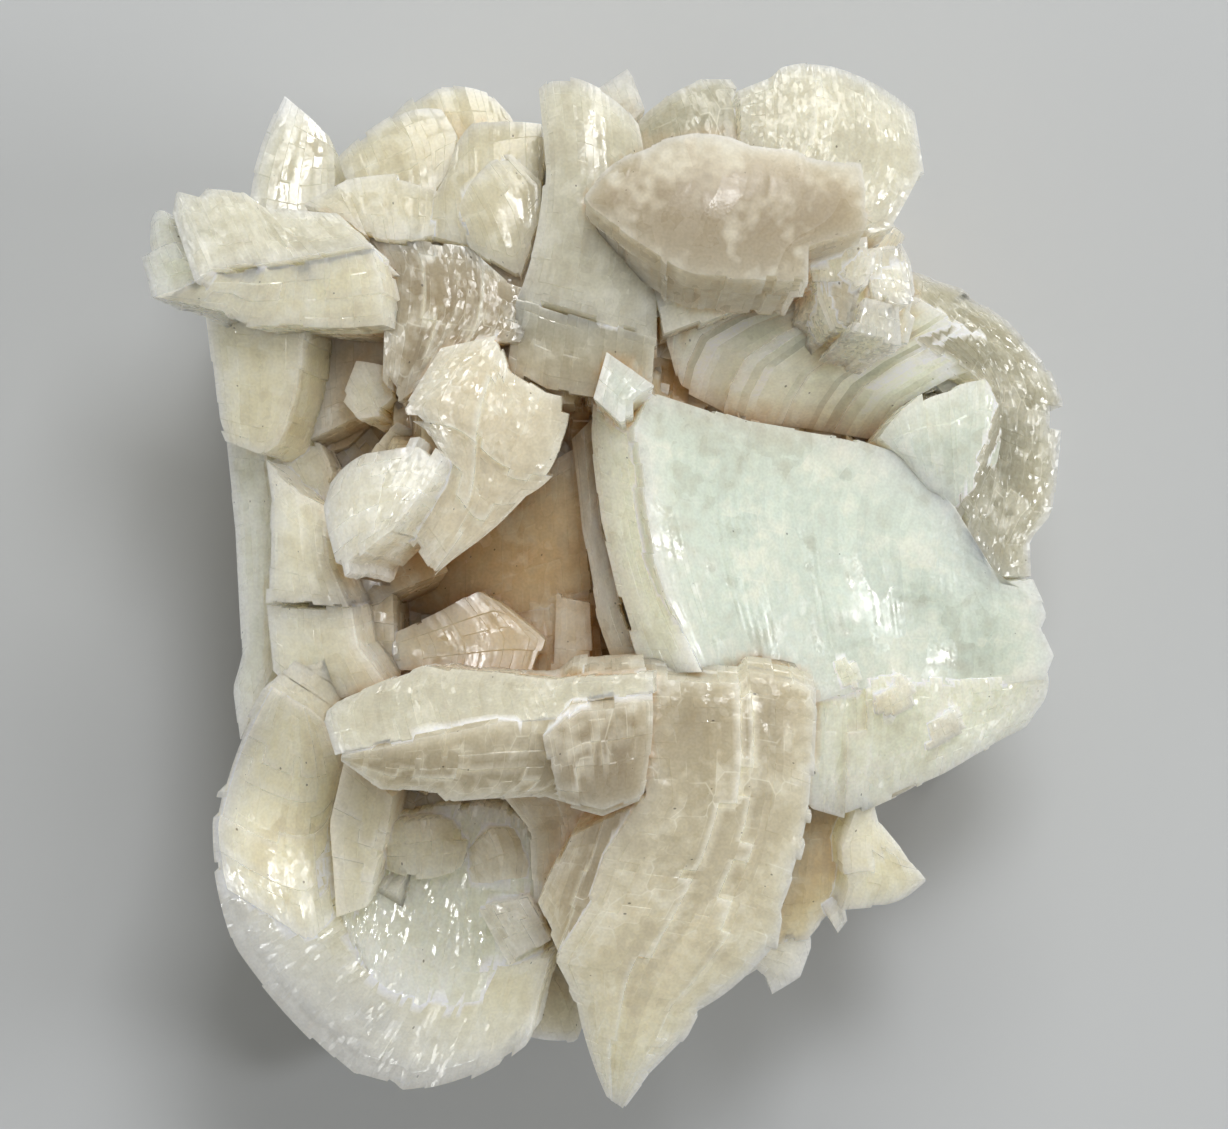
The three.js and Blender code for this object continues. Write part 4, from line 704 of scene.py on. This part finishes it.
def turned(points, axis, angle):
    """Points turned about a main axis through the origin."""
    a, b = {"x": (1, 2), "z": (0, 1)}[axis]
    c, s = math.cos(angle), math.sin(angle)
    out = points.copy()
    out[:, a], out[:, b] = points[:, a] * c - points[:, b] * s, points[:, a] * s + points[:, b] * c
    return out


def flank_blades():
    """Rhombohedral blades round the middle: blade i of a tier stands at a share (i + turn) / count
    of the outline's length, faces out there, and leans by its own angle."""
    outline = np.vstack([edge_line(CORE_EDGES, i)[:-1] for i in range(4)])
    start = next(k for k, p in enumerate(outline) if tuple(p) == FLANK_START)
    outline = np.roll(outline, -start, axis=0)
    outline = np.vstack([outline, outline[:1]])
    for count, height, turn, out in FLANK_TIERS:
        for i in range(count):
            share = (i + turn) / count
            here, ahead = walk(outline, np.array([share, share + 1e-4]))
            size = FLANK_SIZE * (1 + FLANK_VARIES * math.sin(5 * i + 2 * height))
            high = size * (0.9 + 0.2 * math.cos(3 * i))
            blade = Blade(
                out, FLANK_ROOT, slope=(0.1, 0), bend=(-0.05, 0.02, -0.06), radiate=0, block=FLANK_BLOCK,
                tint=("cream", "frost", "pale")[i % 3], sparkle=0.2,
                ledges=[("v", 0.55, -0.35)] if i % 2 else [("u", 0.45, -0.35)],
                edges=[[(-size, -high, 0.2)], [(size * 0.8, -high * 0.9, 0.15)], [(size, high, 0.2)],
                       [(-size * 0.9, high * 0.8, 0.1)]])
            rng = np.random.default_rng(FLANK_SEED + 40 * count + i)
            points, faces, uv, colours = blade_mesh(blade, rng)
            lean = math.radians(FLANK_TILTS[i % len(FLANK_TILTS)])
            points = turned(points, "z", lean * 1.5)
            points = turned(points, "x", math.pi / 2 - abs(lean) * 0.8)
            points = turned(points, "z", math.atan2(*(ahead - here)[::-1]) + lean)
            sink = SINK * max(here[0] - SINK_FROM, 0)
            yield blade, (points + [*here, height - sink], faces, uv, colours)


def mark(data, name, kind, values):
    """Stores one value for each point of a mesh."""
    layer = data.attributes.new(name, kind, "POINT")
    member = "color" if kind == "FLOAT_COLOR" else "value"
    layer.data.foreach_set(member, np.asarray(values, np.float32).ravel())


def closed_object(name, blade, mesh):
    """A Blender object from one blade's arrays, with its grain, colour and sparkle marked."""
    points, faces, uv, colours = mesh
    data = bpy.data.meshes.new(name)
    corners = [face for group in faces for face in group.tolist()]
    data.from_pydata((points - [*BOX_CENTRE, 0]) * MM, [], corners)
    data.uv_layers.new(name="grain").uv.foreach_set("vector", uv.astype(np.float32).ravel())
    # The colour holds the blade's tints with painted glow at rims and painted highlights on lips
    mark(data, "stone_and_rim_light", "FLOAT_COLOR", np.column_stack([colours, np.full(len(points), blade.frost)]))
    mark(data, "sparkle", "FLOAT", np.full(len(points), blade.sparkle))
    return bpy.data.objects.new(name, data)


def cell_of(points, low):
    """The map's cell that each point lies in, as numbers along X and along Y."""
    return tuple(((points[..., :2] - low) / MAP_CELL).astype(int).T)


def height_map(clouds, margin):
    """The highest point over each cell of a grid, and the grid's lowest corner."""
    cloud = np.vstack(clouds)
    low = cloud[:, :2].min(0) - margin - MAP_CELL
    cells = np.ceil((cloud[:, :2].max(0) + margin + MAP_CELL - low) / MAP_CELL).astype(int) + 1
    high = np.zeros(cells)
    np.maximum.at(high, cell_of(cloud, low), cloud[:, 2])
    return high, low


def shifted(grid, i, j):
    """A grid moved by i and j cells."""
    return np.roll(grid, (i, j), (0, 1))


def disc(radius):
    """The steps from a cell of the map to the cells within a radius."""
    reach = round(radius / MAP_CELL)
    span = range(-reach, reach + 1)
    return [(i, j) for i in span for j in span if i * i + j * j <= reach ** 2]


def over_disc(pick, grid, radius):
    """What pick, such as the highest, gives for the values within a radius of each cell."""
    return pick([shifted(grid, *step) for step in disc(radius)], axis=0)


def face_levels(faces):
    """The height map of the blades' faces, with narrow gaps closed."""
    high, low = height_map(faces, MAP_MARGIN)
    for _ in range(2):
        high = np.where(high > 0, high, over_disc(np.max, high, 1.5 * MAP_CELL))
    return high, low


def raise_middle(mesh, faces):
    """Lifts the middle's face between the blades, to FILL_DEPTH below the lowest face within
    FILL_REACH, and no higher than FILL_RISE times the distance to its own rim."""
    points, (face_quads, wall_quads, _), *_ = mesh
    face = points[:face_quads.max() + 1]
    rim = np.intersect1d(wall_quads, np.arange(len(face)))[::4]
    high, low = face_levels(faces)
    lowest = over_disc(np.min, high, FILL_REACH) - FILL_DEPTH
    away = np.hypot(*(face[:, None, :2] - face[None, rim, :2]).T).min(0)
    lifted = np.minimum(lowest[cell_of(face, low)], face[:, 2] + FILL_RISE * away)
    face[:, 2] = np.maximum(face[:, 2], lifted)


def gap_levels(faces):
    """Where small crystals may stand and how high they end: GAP_DEPTH below the mean level of the
    faces round them, and below the lowest face that is over them. Also the map's corner."""
    high, low = face_levels(faces)
    covered = high > 0
    full = len(disc(GAP_BLUR))
    count = over_disc(np.sum, covered, GAP_BLUR)
    level = over_disc(np.sum, high, GAP_BLUR) / np.maximum(count, 1) - GAP_DEPTH
    lowest = over_disc(np.min, np.where(covered, high, np.inf), GAP_BLUR)
    highest = over_disc(np.max, high, GAP_BLUR)
    top = np.minimum(level, lowest - GAP_CLEAR)
    gap = (count < full) | (highest - lowest > GAP_STEP)
    around = np.round(GAP_MARGIN / MAP_CELL * np.array(RING)).astype(int)
    inside = np.all([shifted(count > 0, *step) for step in around], axis=0)
    return gap & inside & (count > 0.5 * full) & (top >= GAP_LOWEST), top, low


def gap_crystals(faces):
    """Small rhombs on a jittered grid over the places between the blades."""
    gap, top, low = gap_levels(faces)
    rng = np.random.default_rng(GRID_SEED)
    rows, columns = (np.array(top.shape) * MAP_CELL / GAP_SPACING).astype(int)
    spots = low + GAP_SPACING * np.mgrid[1:rows, 1:columns].reshape(2, -1).T
    spots = spots + rng.uniform(-GAP_JITTER, GAP_JITTER, spots.shape)
    for number, spot in enumerate(spots):
        cell = cell_of(spot, low)
        if not gap[cell]:
            continue
        angle = rng.uniform(0, math.pi)
        size = GAP_SIZE * rng.uniform(*GAP_SIZES)
        turn = np.array([[math.cos(angle), math.sin(angle)], [-math.sin(angle), math.cos(angle)]])
        corners = np.array(GAP_RHOMB) * size @ turn + spot
        slope = rng.uniform(-GAP_SLOPE, GAP_SLOPE, 2)
        blade = Blade(top[cell], GAP_ROOT, [[(*corner, GAP_BOW)] for corner in corners],
                      slope=slope, radiate=0.05, block=GAP_BLOCK, tint="gap")
        yield blade, blade_mesh(blade, np.random.default_rng(GAP_SEED + number))


def below_cut():
    """A box under the plane that the specimen rests on."""
    data = bpy.data.meshes.new("below")
    wide, deep = CUT_BOX
    x, y, z = np.meshgrid([-wide, wide], [-wide, wide], [-deep, 0], indexing="ij")
    corners = np.stack([x, y, z], axis=-1).reshape(-1, 3) * MM
    sides = [(0, 1, 3, 2), (4, 6, 7, 5), (0, 4, 5, 1), (2, 3, 7, 6), (0, 2, 6, 4), (1, 5, 7, 3)]
    data.from_pydata(corners, [], sides)
    return bpy.data.objects.new("below", data)


def joined(name, objects):
    """The union of closed objects, less what is below the cut, as one mesh."""
    scene = bpy.context.scene.collection
    others = bpy.data.collections.new(name + "_others")
    scene.children.link(others)
    scene.objects.link(objects[0])
    for other in objects[1:]:
        others.objects.link(other)
    if len(objects) > 1:
        union = objects[0].modifiers.new("join", "BOOLEAN")
        union.solver, union.operation = "MANIFOLD", "UNION"
        union.operand_type, union.collection = "COLLECTION", others
    below = below_cut()
    scene.objects.link(below)
    cut = objects[0].modifiers.new("cut", "BOOLEAN")
    cut.solver, cut.operation, cut.object = "MANIFOLD", "DIFFERENCE", below
    evaluated = objects[0].evaluated_get(bpy.context.evaluated_depsgraph_get())
    data = bpy.data.meshes.new_from_object(evaluated)
    for used in [*objects, below]:
        bpy.data.objects.remove(used)
    bpy.data.collections.remove(others)
    return data


def points_of(data):
    """A mesh's points in millimetres."""
    flat = np.empty(3 * len(data.vertices), np.float32)
    data.vertices.foreach_get("co", flat)
    return flat.reshape(-1, 3) / MM


def mark_sheltered_shade(meshes):
    """How little of the sky each point sees, from 0 to 1, as the mask for painted amber shade. The
    horizon in a direction is the steepest rise to the highest point of the map along it, and the
    sky seen is 1 / (1 + rise²). A direction that leads out of the specimen is open."""
    high, low = height_map([points_of(data) for data in meshes], SKY_REACH[-1])
    for data in meshes:
        points = points_of(data)
        seen = np.zeros(len(points))
        for angle in np.arange(SKY_DIRECTIONS) * math.pi * 2 / SKY_DIRECTIONS:
            rise = np.zeros(len(points))
            for reach in SKY_REACH:
                at = points[:, :2] + reach * np.array([math.cos(angle), math.sin(angle)])
                there = high[cell_of(at, low)]
                rise = np.maximum(rise, (there - points[:, 2] - MAP_CELL) / reach)
            seen += 1 / (1 + (rise * (there > 0)) ** 2)
        hidden = (SKY_OPEN - seen / SKY_DIRECTIONS) / SKY_OPEN
        mark(data, "sheltered_shade", "FLOAT", np.clip(hidden, 0, 1))


def finished(name, data, material):
    """One visible piece: it stands for the solid, smooth between its sharp edges."""
    data.materials.clear()
    data.materials.append(material)
    data.shade_smooth()
    data.set_sharp_from_angle(angle=math.radians(SHARP_DEGREES))
    piece = bpy.data.objects.new(name, data)
    bpy.context.scene.collection.objects.link(piece)
    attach(piece, "root")
    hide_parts(NODE)


def add(tree, kind, inputs=None, gives=None, **settings):
    """Adds a shader node of a kind and returns the socket that it gives. Settings are the node's
    own properties, and inputs are values or sockets, by the socket's name or number."""
    node = tree.nodes.new("ShaderNode" + kind)
    for key, value in settings.items():
        setattr(node, key, value)
    for key, value in (inputs or {}).items():
        named = (socket for socket in node.inputs if socket.name == key and socket.enabled)
        socket = node.inputs[key] if isinstance(key, int) else next(named)
        if isinstance(value, bpy.types.NodeSocket):
            tree.links.new(value, socket)
        else:
            socket.default_value = value
    return next((s for s in node.outputs if s.enabled and gives in (None, s.name)), None)


def stone_colour(tree, stone_and_rim_light, grain, grains, mixed, crack):
    """The crystal's colour, with amber shade painted where it is sheltered, greyer where it is clear
    and pale where it is milky, with faint frost, white cracks and dark specks. The colour it starts
    from already holds painted glow at rims and painted highlights on lips."""
    amber, shade, milk, speck = ((*linear(tone), 1) for tone in (SHADE_AMBER, SHADE, MILK_AND_HIGHLIGHT, SPECK))
    rgb = {"data_type": "RGBA"}
    # Painted shade: amber mixed in where a point sees little sky
    sheltered_shade = add(tree, "Attribute", gives="Fac", attribute_name="sheltered_shade")
    amber_shaded = add(tree, "Mix", {"Factor": sheltered_shade, "A": stone_and_rim_light, "B": amber}, **rgb)
    dim = add(tree, "MapRange", {"Value": mixed, "From Min": 0.72, "From Max": 0.5, "To Max": 0.28})
    dull = add(tree, "Mix", {"Factor": dim, "A": amber_shaded, "B": shade}, **rgb)
    haze = add(tree, "MapRange", {"Value": mixed, "From Min": 0.74, "From Max": 0.98, "To Max": 0.45})
    milky = add(tree, "Mix", {"Factor": haze, "A": dull, "B": milk}, **rgb)
    faint = add(tree, "MapRange", {
        "Value": grains, "From Min": 0.3, "From Max": 0.7, "To Min": 0.95, "To Max": 1.04})
    frosted = add(tree, "Mix", {"Factor": 1.0, "A": milky, "B": faint}, **rgb, blend_type="MULTIPLY")
    cracked = add(tree, "Mix", {"Factor": crack, "A": frosted, "B": milk}, **rgb)

    # Specks up to 0.08 mm wide, at a third of places that lie 0.8 mm apart
    cells = {"Vector": grain, "Scale": 1.3}
    dots = add(tree, "TexVoronoi", cells, gives="Distance", voronoi_dimensions="2D")
    size = add(tree, "SeparateColor", {"Color": dots.node.outputs["Color"]}, gives="Red")
    near = add(tree, "Math", {0: size, 1: -0.16, 2: dots}, operation="MULTIPLY_ADD")
    dark = add(tree, "MapRange", {"Value": near, "From Min": -0.11, "From Max": -0.13, "To Max": 0.7})
    return add(tree, "Mix", {"Factor": dark, "A": cracked, "B": speck}, **rgb)


def glitter_normal(tree, grain, grains, clouds, block, sparkle):
    """The face's normal with a relief of the grains, a slight tilt for each block, and a strong
    one for each small facet where the stone is broken."""
    centre = (0.5, 0.5, 0.5)
    relief = add(tree, "Bump", {"Height": grains, "Strength": 0.4, "Distance": 0.008 * MM})
    shimmer = add(tree, "VectorMath", {0: block, 1: centre}, operation="SUBTRACT")
    turn = add(tree, "MapRange", {"Value": sparkle, "From Max": 0.4, "To Min": 0.02, "To Max": 0.1})
    slight = add(tree, "VectorMath", {0: shimmer, "Scale": turn}, operation="SCALE")

    # Facets 0.09 mm wide and 0.14 mm long, tilted most where the clouds are dense
    flakes = add(tree, "Mapping", {"Vector": grain, "Scale": (11, 7, 1)})
    cells = {"Vector": flakes, "Scale": 1.0}
    facets = add(tree, "TexVoronoi", cells, gives="Color", voronoi_dimensions="2D")
    tilt = add(tree, "VectorMath", {0: facets, 1: centre}, operation="SUBTRACT")
    patches = add(tree, "MapRange", {"Value": clouds, "From Min": 0.42, "From Max": 0.55, "To Min": 0.3})
    glitter = add(tree, "Math", {0: sparkle, 1: patches}, operation="MULTIPLY")
    strong = add(tree, "VectorMath", {0: tilt, "Scale": glitter}, operation="SCALE")
    both = add(tree, "VectorMath", {0: slight, 1: strong}, operation="ADD")
    tilted = add(tree, "VectorMath", {0: relief, 1: both}, operation="ADD")
    return add(tree, "VectorMath", {0: tilted}, operation="NORMALIZE")


def dolomite():
    """Saddle dolomite, grown from warm brine and left as found. Light goes more than a millimetre
    into it; on top of that, rims carry a painted glow and sheltered hollows a painted amber shade.
    Under its face shows the mosaic of its blocks, some clear and glassy, some frosted, with white
    cleavage cracks between a few of them; and where it is broken, small facets glitter."""
    material = bpy.data.materials.new("saddle_dolomite")
    material.use_nodes = True
    tree = material.node_tree
    tree.nodes.clear()
    # Blade colours, with painted glow at rims and painted highlights on lips
    stone_and_rim_light = add(tree, "Attribute", gives="Color", attribute_name="stone_and_rim_light")
    sparkle = add(tree, "Attribute", gives="Fac", attribute_name="sparkle")
    grain = add(tree, "UVMap", uv_map="grain")
    metres = add(tree, "TexCoord", gives="Object")
    place = add(tree, "Mapping", {"Vector": metres, "Scale": (1 / MM, 1 / MM, 1 / MM)})

    # Clouds 1.7 mm wide, mottle 0.3 mm, frost grains 0.08 mm, and blocks 0.6 by 1.2 mm
    clouds = add(tree, "TexNoise", {"Vector": place, "Scale": 0.6, "Detail": 2.0, "Roughness": 0.7})
    mottle = add(tree, "TexNoise", {"Vector": place, "Scale": 3.0, "Detail": 0.0})
    grains = add(tree, "TexNoise", {"Vector": place, "Scale": 12.0, "Detail": 0.0})
    lattice = add(tree, "Mapping", {"Vector": grain, "Scale": (1.7, 0.8, 1)})
    blocks = {"Vector": lattice, "Scale": 1.0, "Randomness": 0.6}
    squares = {"voronoi_dimensions": "2D", "distance": "CHEBYCHEV"}
    block = add(tree, "TexVoronoi", blocks, gives="Color", **squares)
    beside = add(tree, "TexVoronoi", blocks, gives="Distance", feature="F2", **squares)
    chance = add(tree, "SeparateColor", {"Color": block}, gives="Red")

    # A crack is a thin white line between two blocks, where the clouds are dense
    between = add(tree, "Math", {0: beside, 1: block.node.outputs["Distance"]}, operation="SUBTRACT")
    thin = add(tree, "MapRange", {"Value": between, "From Min": 0.05, "From Max": 0.01})
    dense = add(tree, "MapRange", {"Value": clouds, "From Min": 0.46, "From Max": 0.6, "To Max": 0.45})
    broken = add(tree, "MapRange", {"Value": sparkle, "From Max": 0.2})
    likely = add(tree, "Math", {0: dense, 1: broken}, operation="MULTIPLY")
    crack = add(tree, "Math", {0: thin, 1: likely}, operation="MULTIPLY")

    # Clouds, mottle and a little of each block's own chance make it clear or milky, and rougher
    depth = add(tree, "Math", {0: chance, 1: 0.1, 2: clouds}, operation="MULTIPLY_ADD")
    mixed = add(tree, "Math", {0: mottle, 1: 0.35, 2: depth}, operation="MULTIPLY_ADD")
    cloudy = add(tree, "Math", {0: chance, 1: 0.3, 2: mixed}, operation="MULTIPLY_ADD")
    rougher = add(tree, "MapRange", {
        "Value": cloudy, "From Min": 0.6, "From Max": 1.1, "To Min": 0.4, "To Max": 1.5})
    roughness = add(tree, "Math", {0: rougher, 1: stone_and_rim_light.node.outputs["Alpha"]}, operation="MULTIPLY")
    shader = add(tree, "BsdfPrincipled", {
        "Base Color": stone_colour(tree, stone_and_rim_light, grain, grains, mixed, crack),
        "Normal": glitter_normal(tree, grain, grains, clouds, block, sparkle),
        "Roughness": roughness, "IOR": 1.6, "Subsurface Weight": 0.9,
        "Subsurface Radius": (1.0, 0.92, 0.78), "Subsurface Scale": 3.0 * MM})
    add(tree, "OutputMaterial", {"Surface": shader})
    return material


def build_pieces():
    """Every piece, blades first, then the middle with its flanks and the small crystals."""
    meshes, faces = {}, []
    for i, (name, blades) in enumerate(PIECES.items()):
        objects = []
        for j, blade in enumerate(blades):
            mesh = blade_mesh(blade, np.random.default_rng((i, j)))
            objects.append(closed_object(name, blade, mesh))
            if not blade.under:
                faces.append(mesh[0][:mesh[1][0].max() + 1])
        meshes[name] = joined(name, objects)
    core = Blade(CORE_TOP, (0, 0, -CORE_TOP), CORE_EDGES, narrows=False, radiate=0, block=GAP_BLOCK,
                 tint="gap", sparkle=0.3)
    middle = blade_mesh(core, np.random.default_rng(len(PIECES)))
    raise_middle(middle, faces)
    for name, blades in (("flank_blades", [(core, middle), *flank_blades()]),
                         ("gap_crystals", gap_crystals(faces))):
        meshes[name] = joined(name, [closed_object(name, blade, mesh) for blade, mesh in blades])
    # The mask by which the material paints amber shade into hollows
    mark_sheltered_shade(meshes.values())
    material = dolomite()
    for name, data in meshes.items():
        finished(name, data, material)


# What the camera sees: the frame is 36.8 mm wide where the blades lie, seen from straight above
VIEW_WIDTH = 36.84
VIEW_CENTRE = (0.16, 0.71)
BLADE_LEVEL = 13
CAMERA_DISTANCE = 360
SENSOR = 36


def make_camera():
    """A camera straight above the blades."""
    data = bpy.data.cameras.new("camera")
    data.sensor_fit, data.sensor_width = "HORIZONTAL", SENSOR
    data.lens = SENSOR * CAMERA_DISTANCE / VIEW_WIDTH
    data.clip_start, data.clip_end = 0.01, 20
    camera = bpy.data.objects.new("camera", data)
    camera.location = Vector((*VIEW_CENTRE, BLADE_LEVEL + CAMERA_DISTANCE)) * MM
    bpy.context.scene.collection.objects.link(camera)
    bpy.context.scene.camera = camera


def soft_light(name, place, size, watts, colour):
    """A square lamp that faces the middle of the specimen; place and size are in millimetres."""
    data = bpy.data.lights.new(name, "AREA")
    data.shape, data.size, data.energy = "SQUARE", size * MM, watts
    data.color = linear(colour)
    lamp = bpy.data.objects.new(name, data)
    lamp.location = Vector(place) * MM
    lamp.rotation_euler = (Vector((0, 0, 10 * MM)) - lamp.location).to_track_quat("-Z", "Y").to_euler()
    bpy.context.scene.collection.objects.link(lamp)


def make_stage():
    """A plain pale floor, a bright window beyond the specimen's top, soft light from the left and
    from above, and two lamps whose reflections glint."""
    data = bpy.data.meshes.new("floor")
    corners = np.array([(-1, -1, 0), (1, -1, 0), (1, 1, 0), (-1, 1, 0)], float)
    data.from_pydata(corners, [], [(0, 1, 2, 3)])
    card = bpy.data.materials.new("matt_grey_card")
    card.use_nodes = True
    shader = card.node_tree.nodes["Principled BSDF"]
    shader.inputs["Base Color"].default_value = (*linear("#BCBFC2"), 1)
    shader.inputs["Roughness"].default_value = 0.9
    data.materials.append(card)
    floor = bpy.data.objects.new("floor", data)
    bpy.context.scene.collection.objects.link(floor)
    soft_light("window", (60, 240, 200), 150, 0.4, "#FFFDF6")
    soft_light("fill_left", (-240, -60, 220), 220, 0.15, "#FFFEFA")
    soft_light("over", (60, -60, 330), 260, 0.06, "#FFF9F0")
    soft_light("glint", (40, 130, 330), 90, 0.42, "#FFFFFF")
    soft_light("right_glint", (290, 5, 175), 80, 0.34, "#FFFFFF")
    world = bpy.data.worlds.new("room")
    world.use_nodes = True
    sky = world.node_tree.nodes["Background"]
    sky.inputs["Color"].default_value = (*linear("#D2D1CC"), 1)
    sky.inputs["Strength"].default_value = 0.3
    bpy.context.scene.world = world
    bpy.context.scene.view_settings.view_transform = "Standard"


build_pieces()
make_camera()
make_stage()
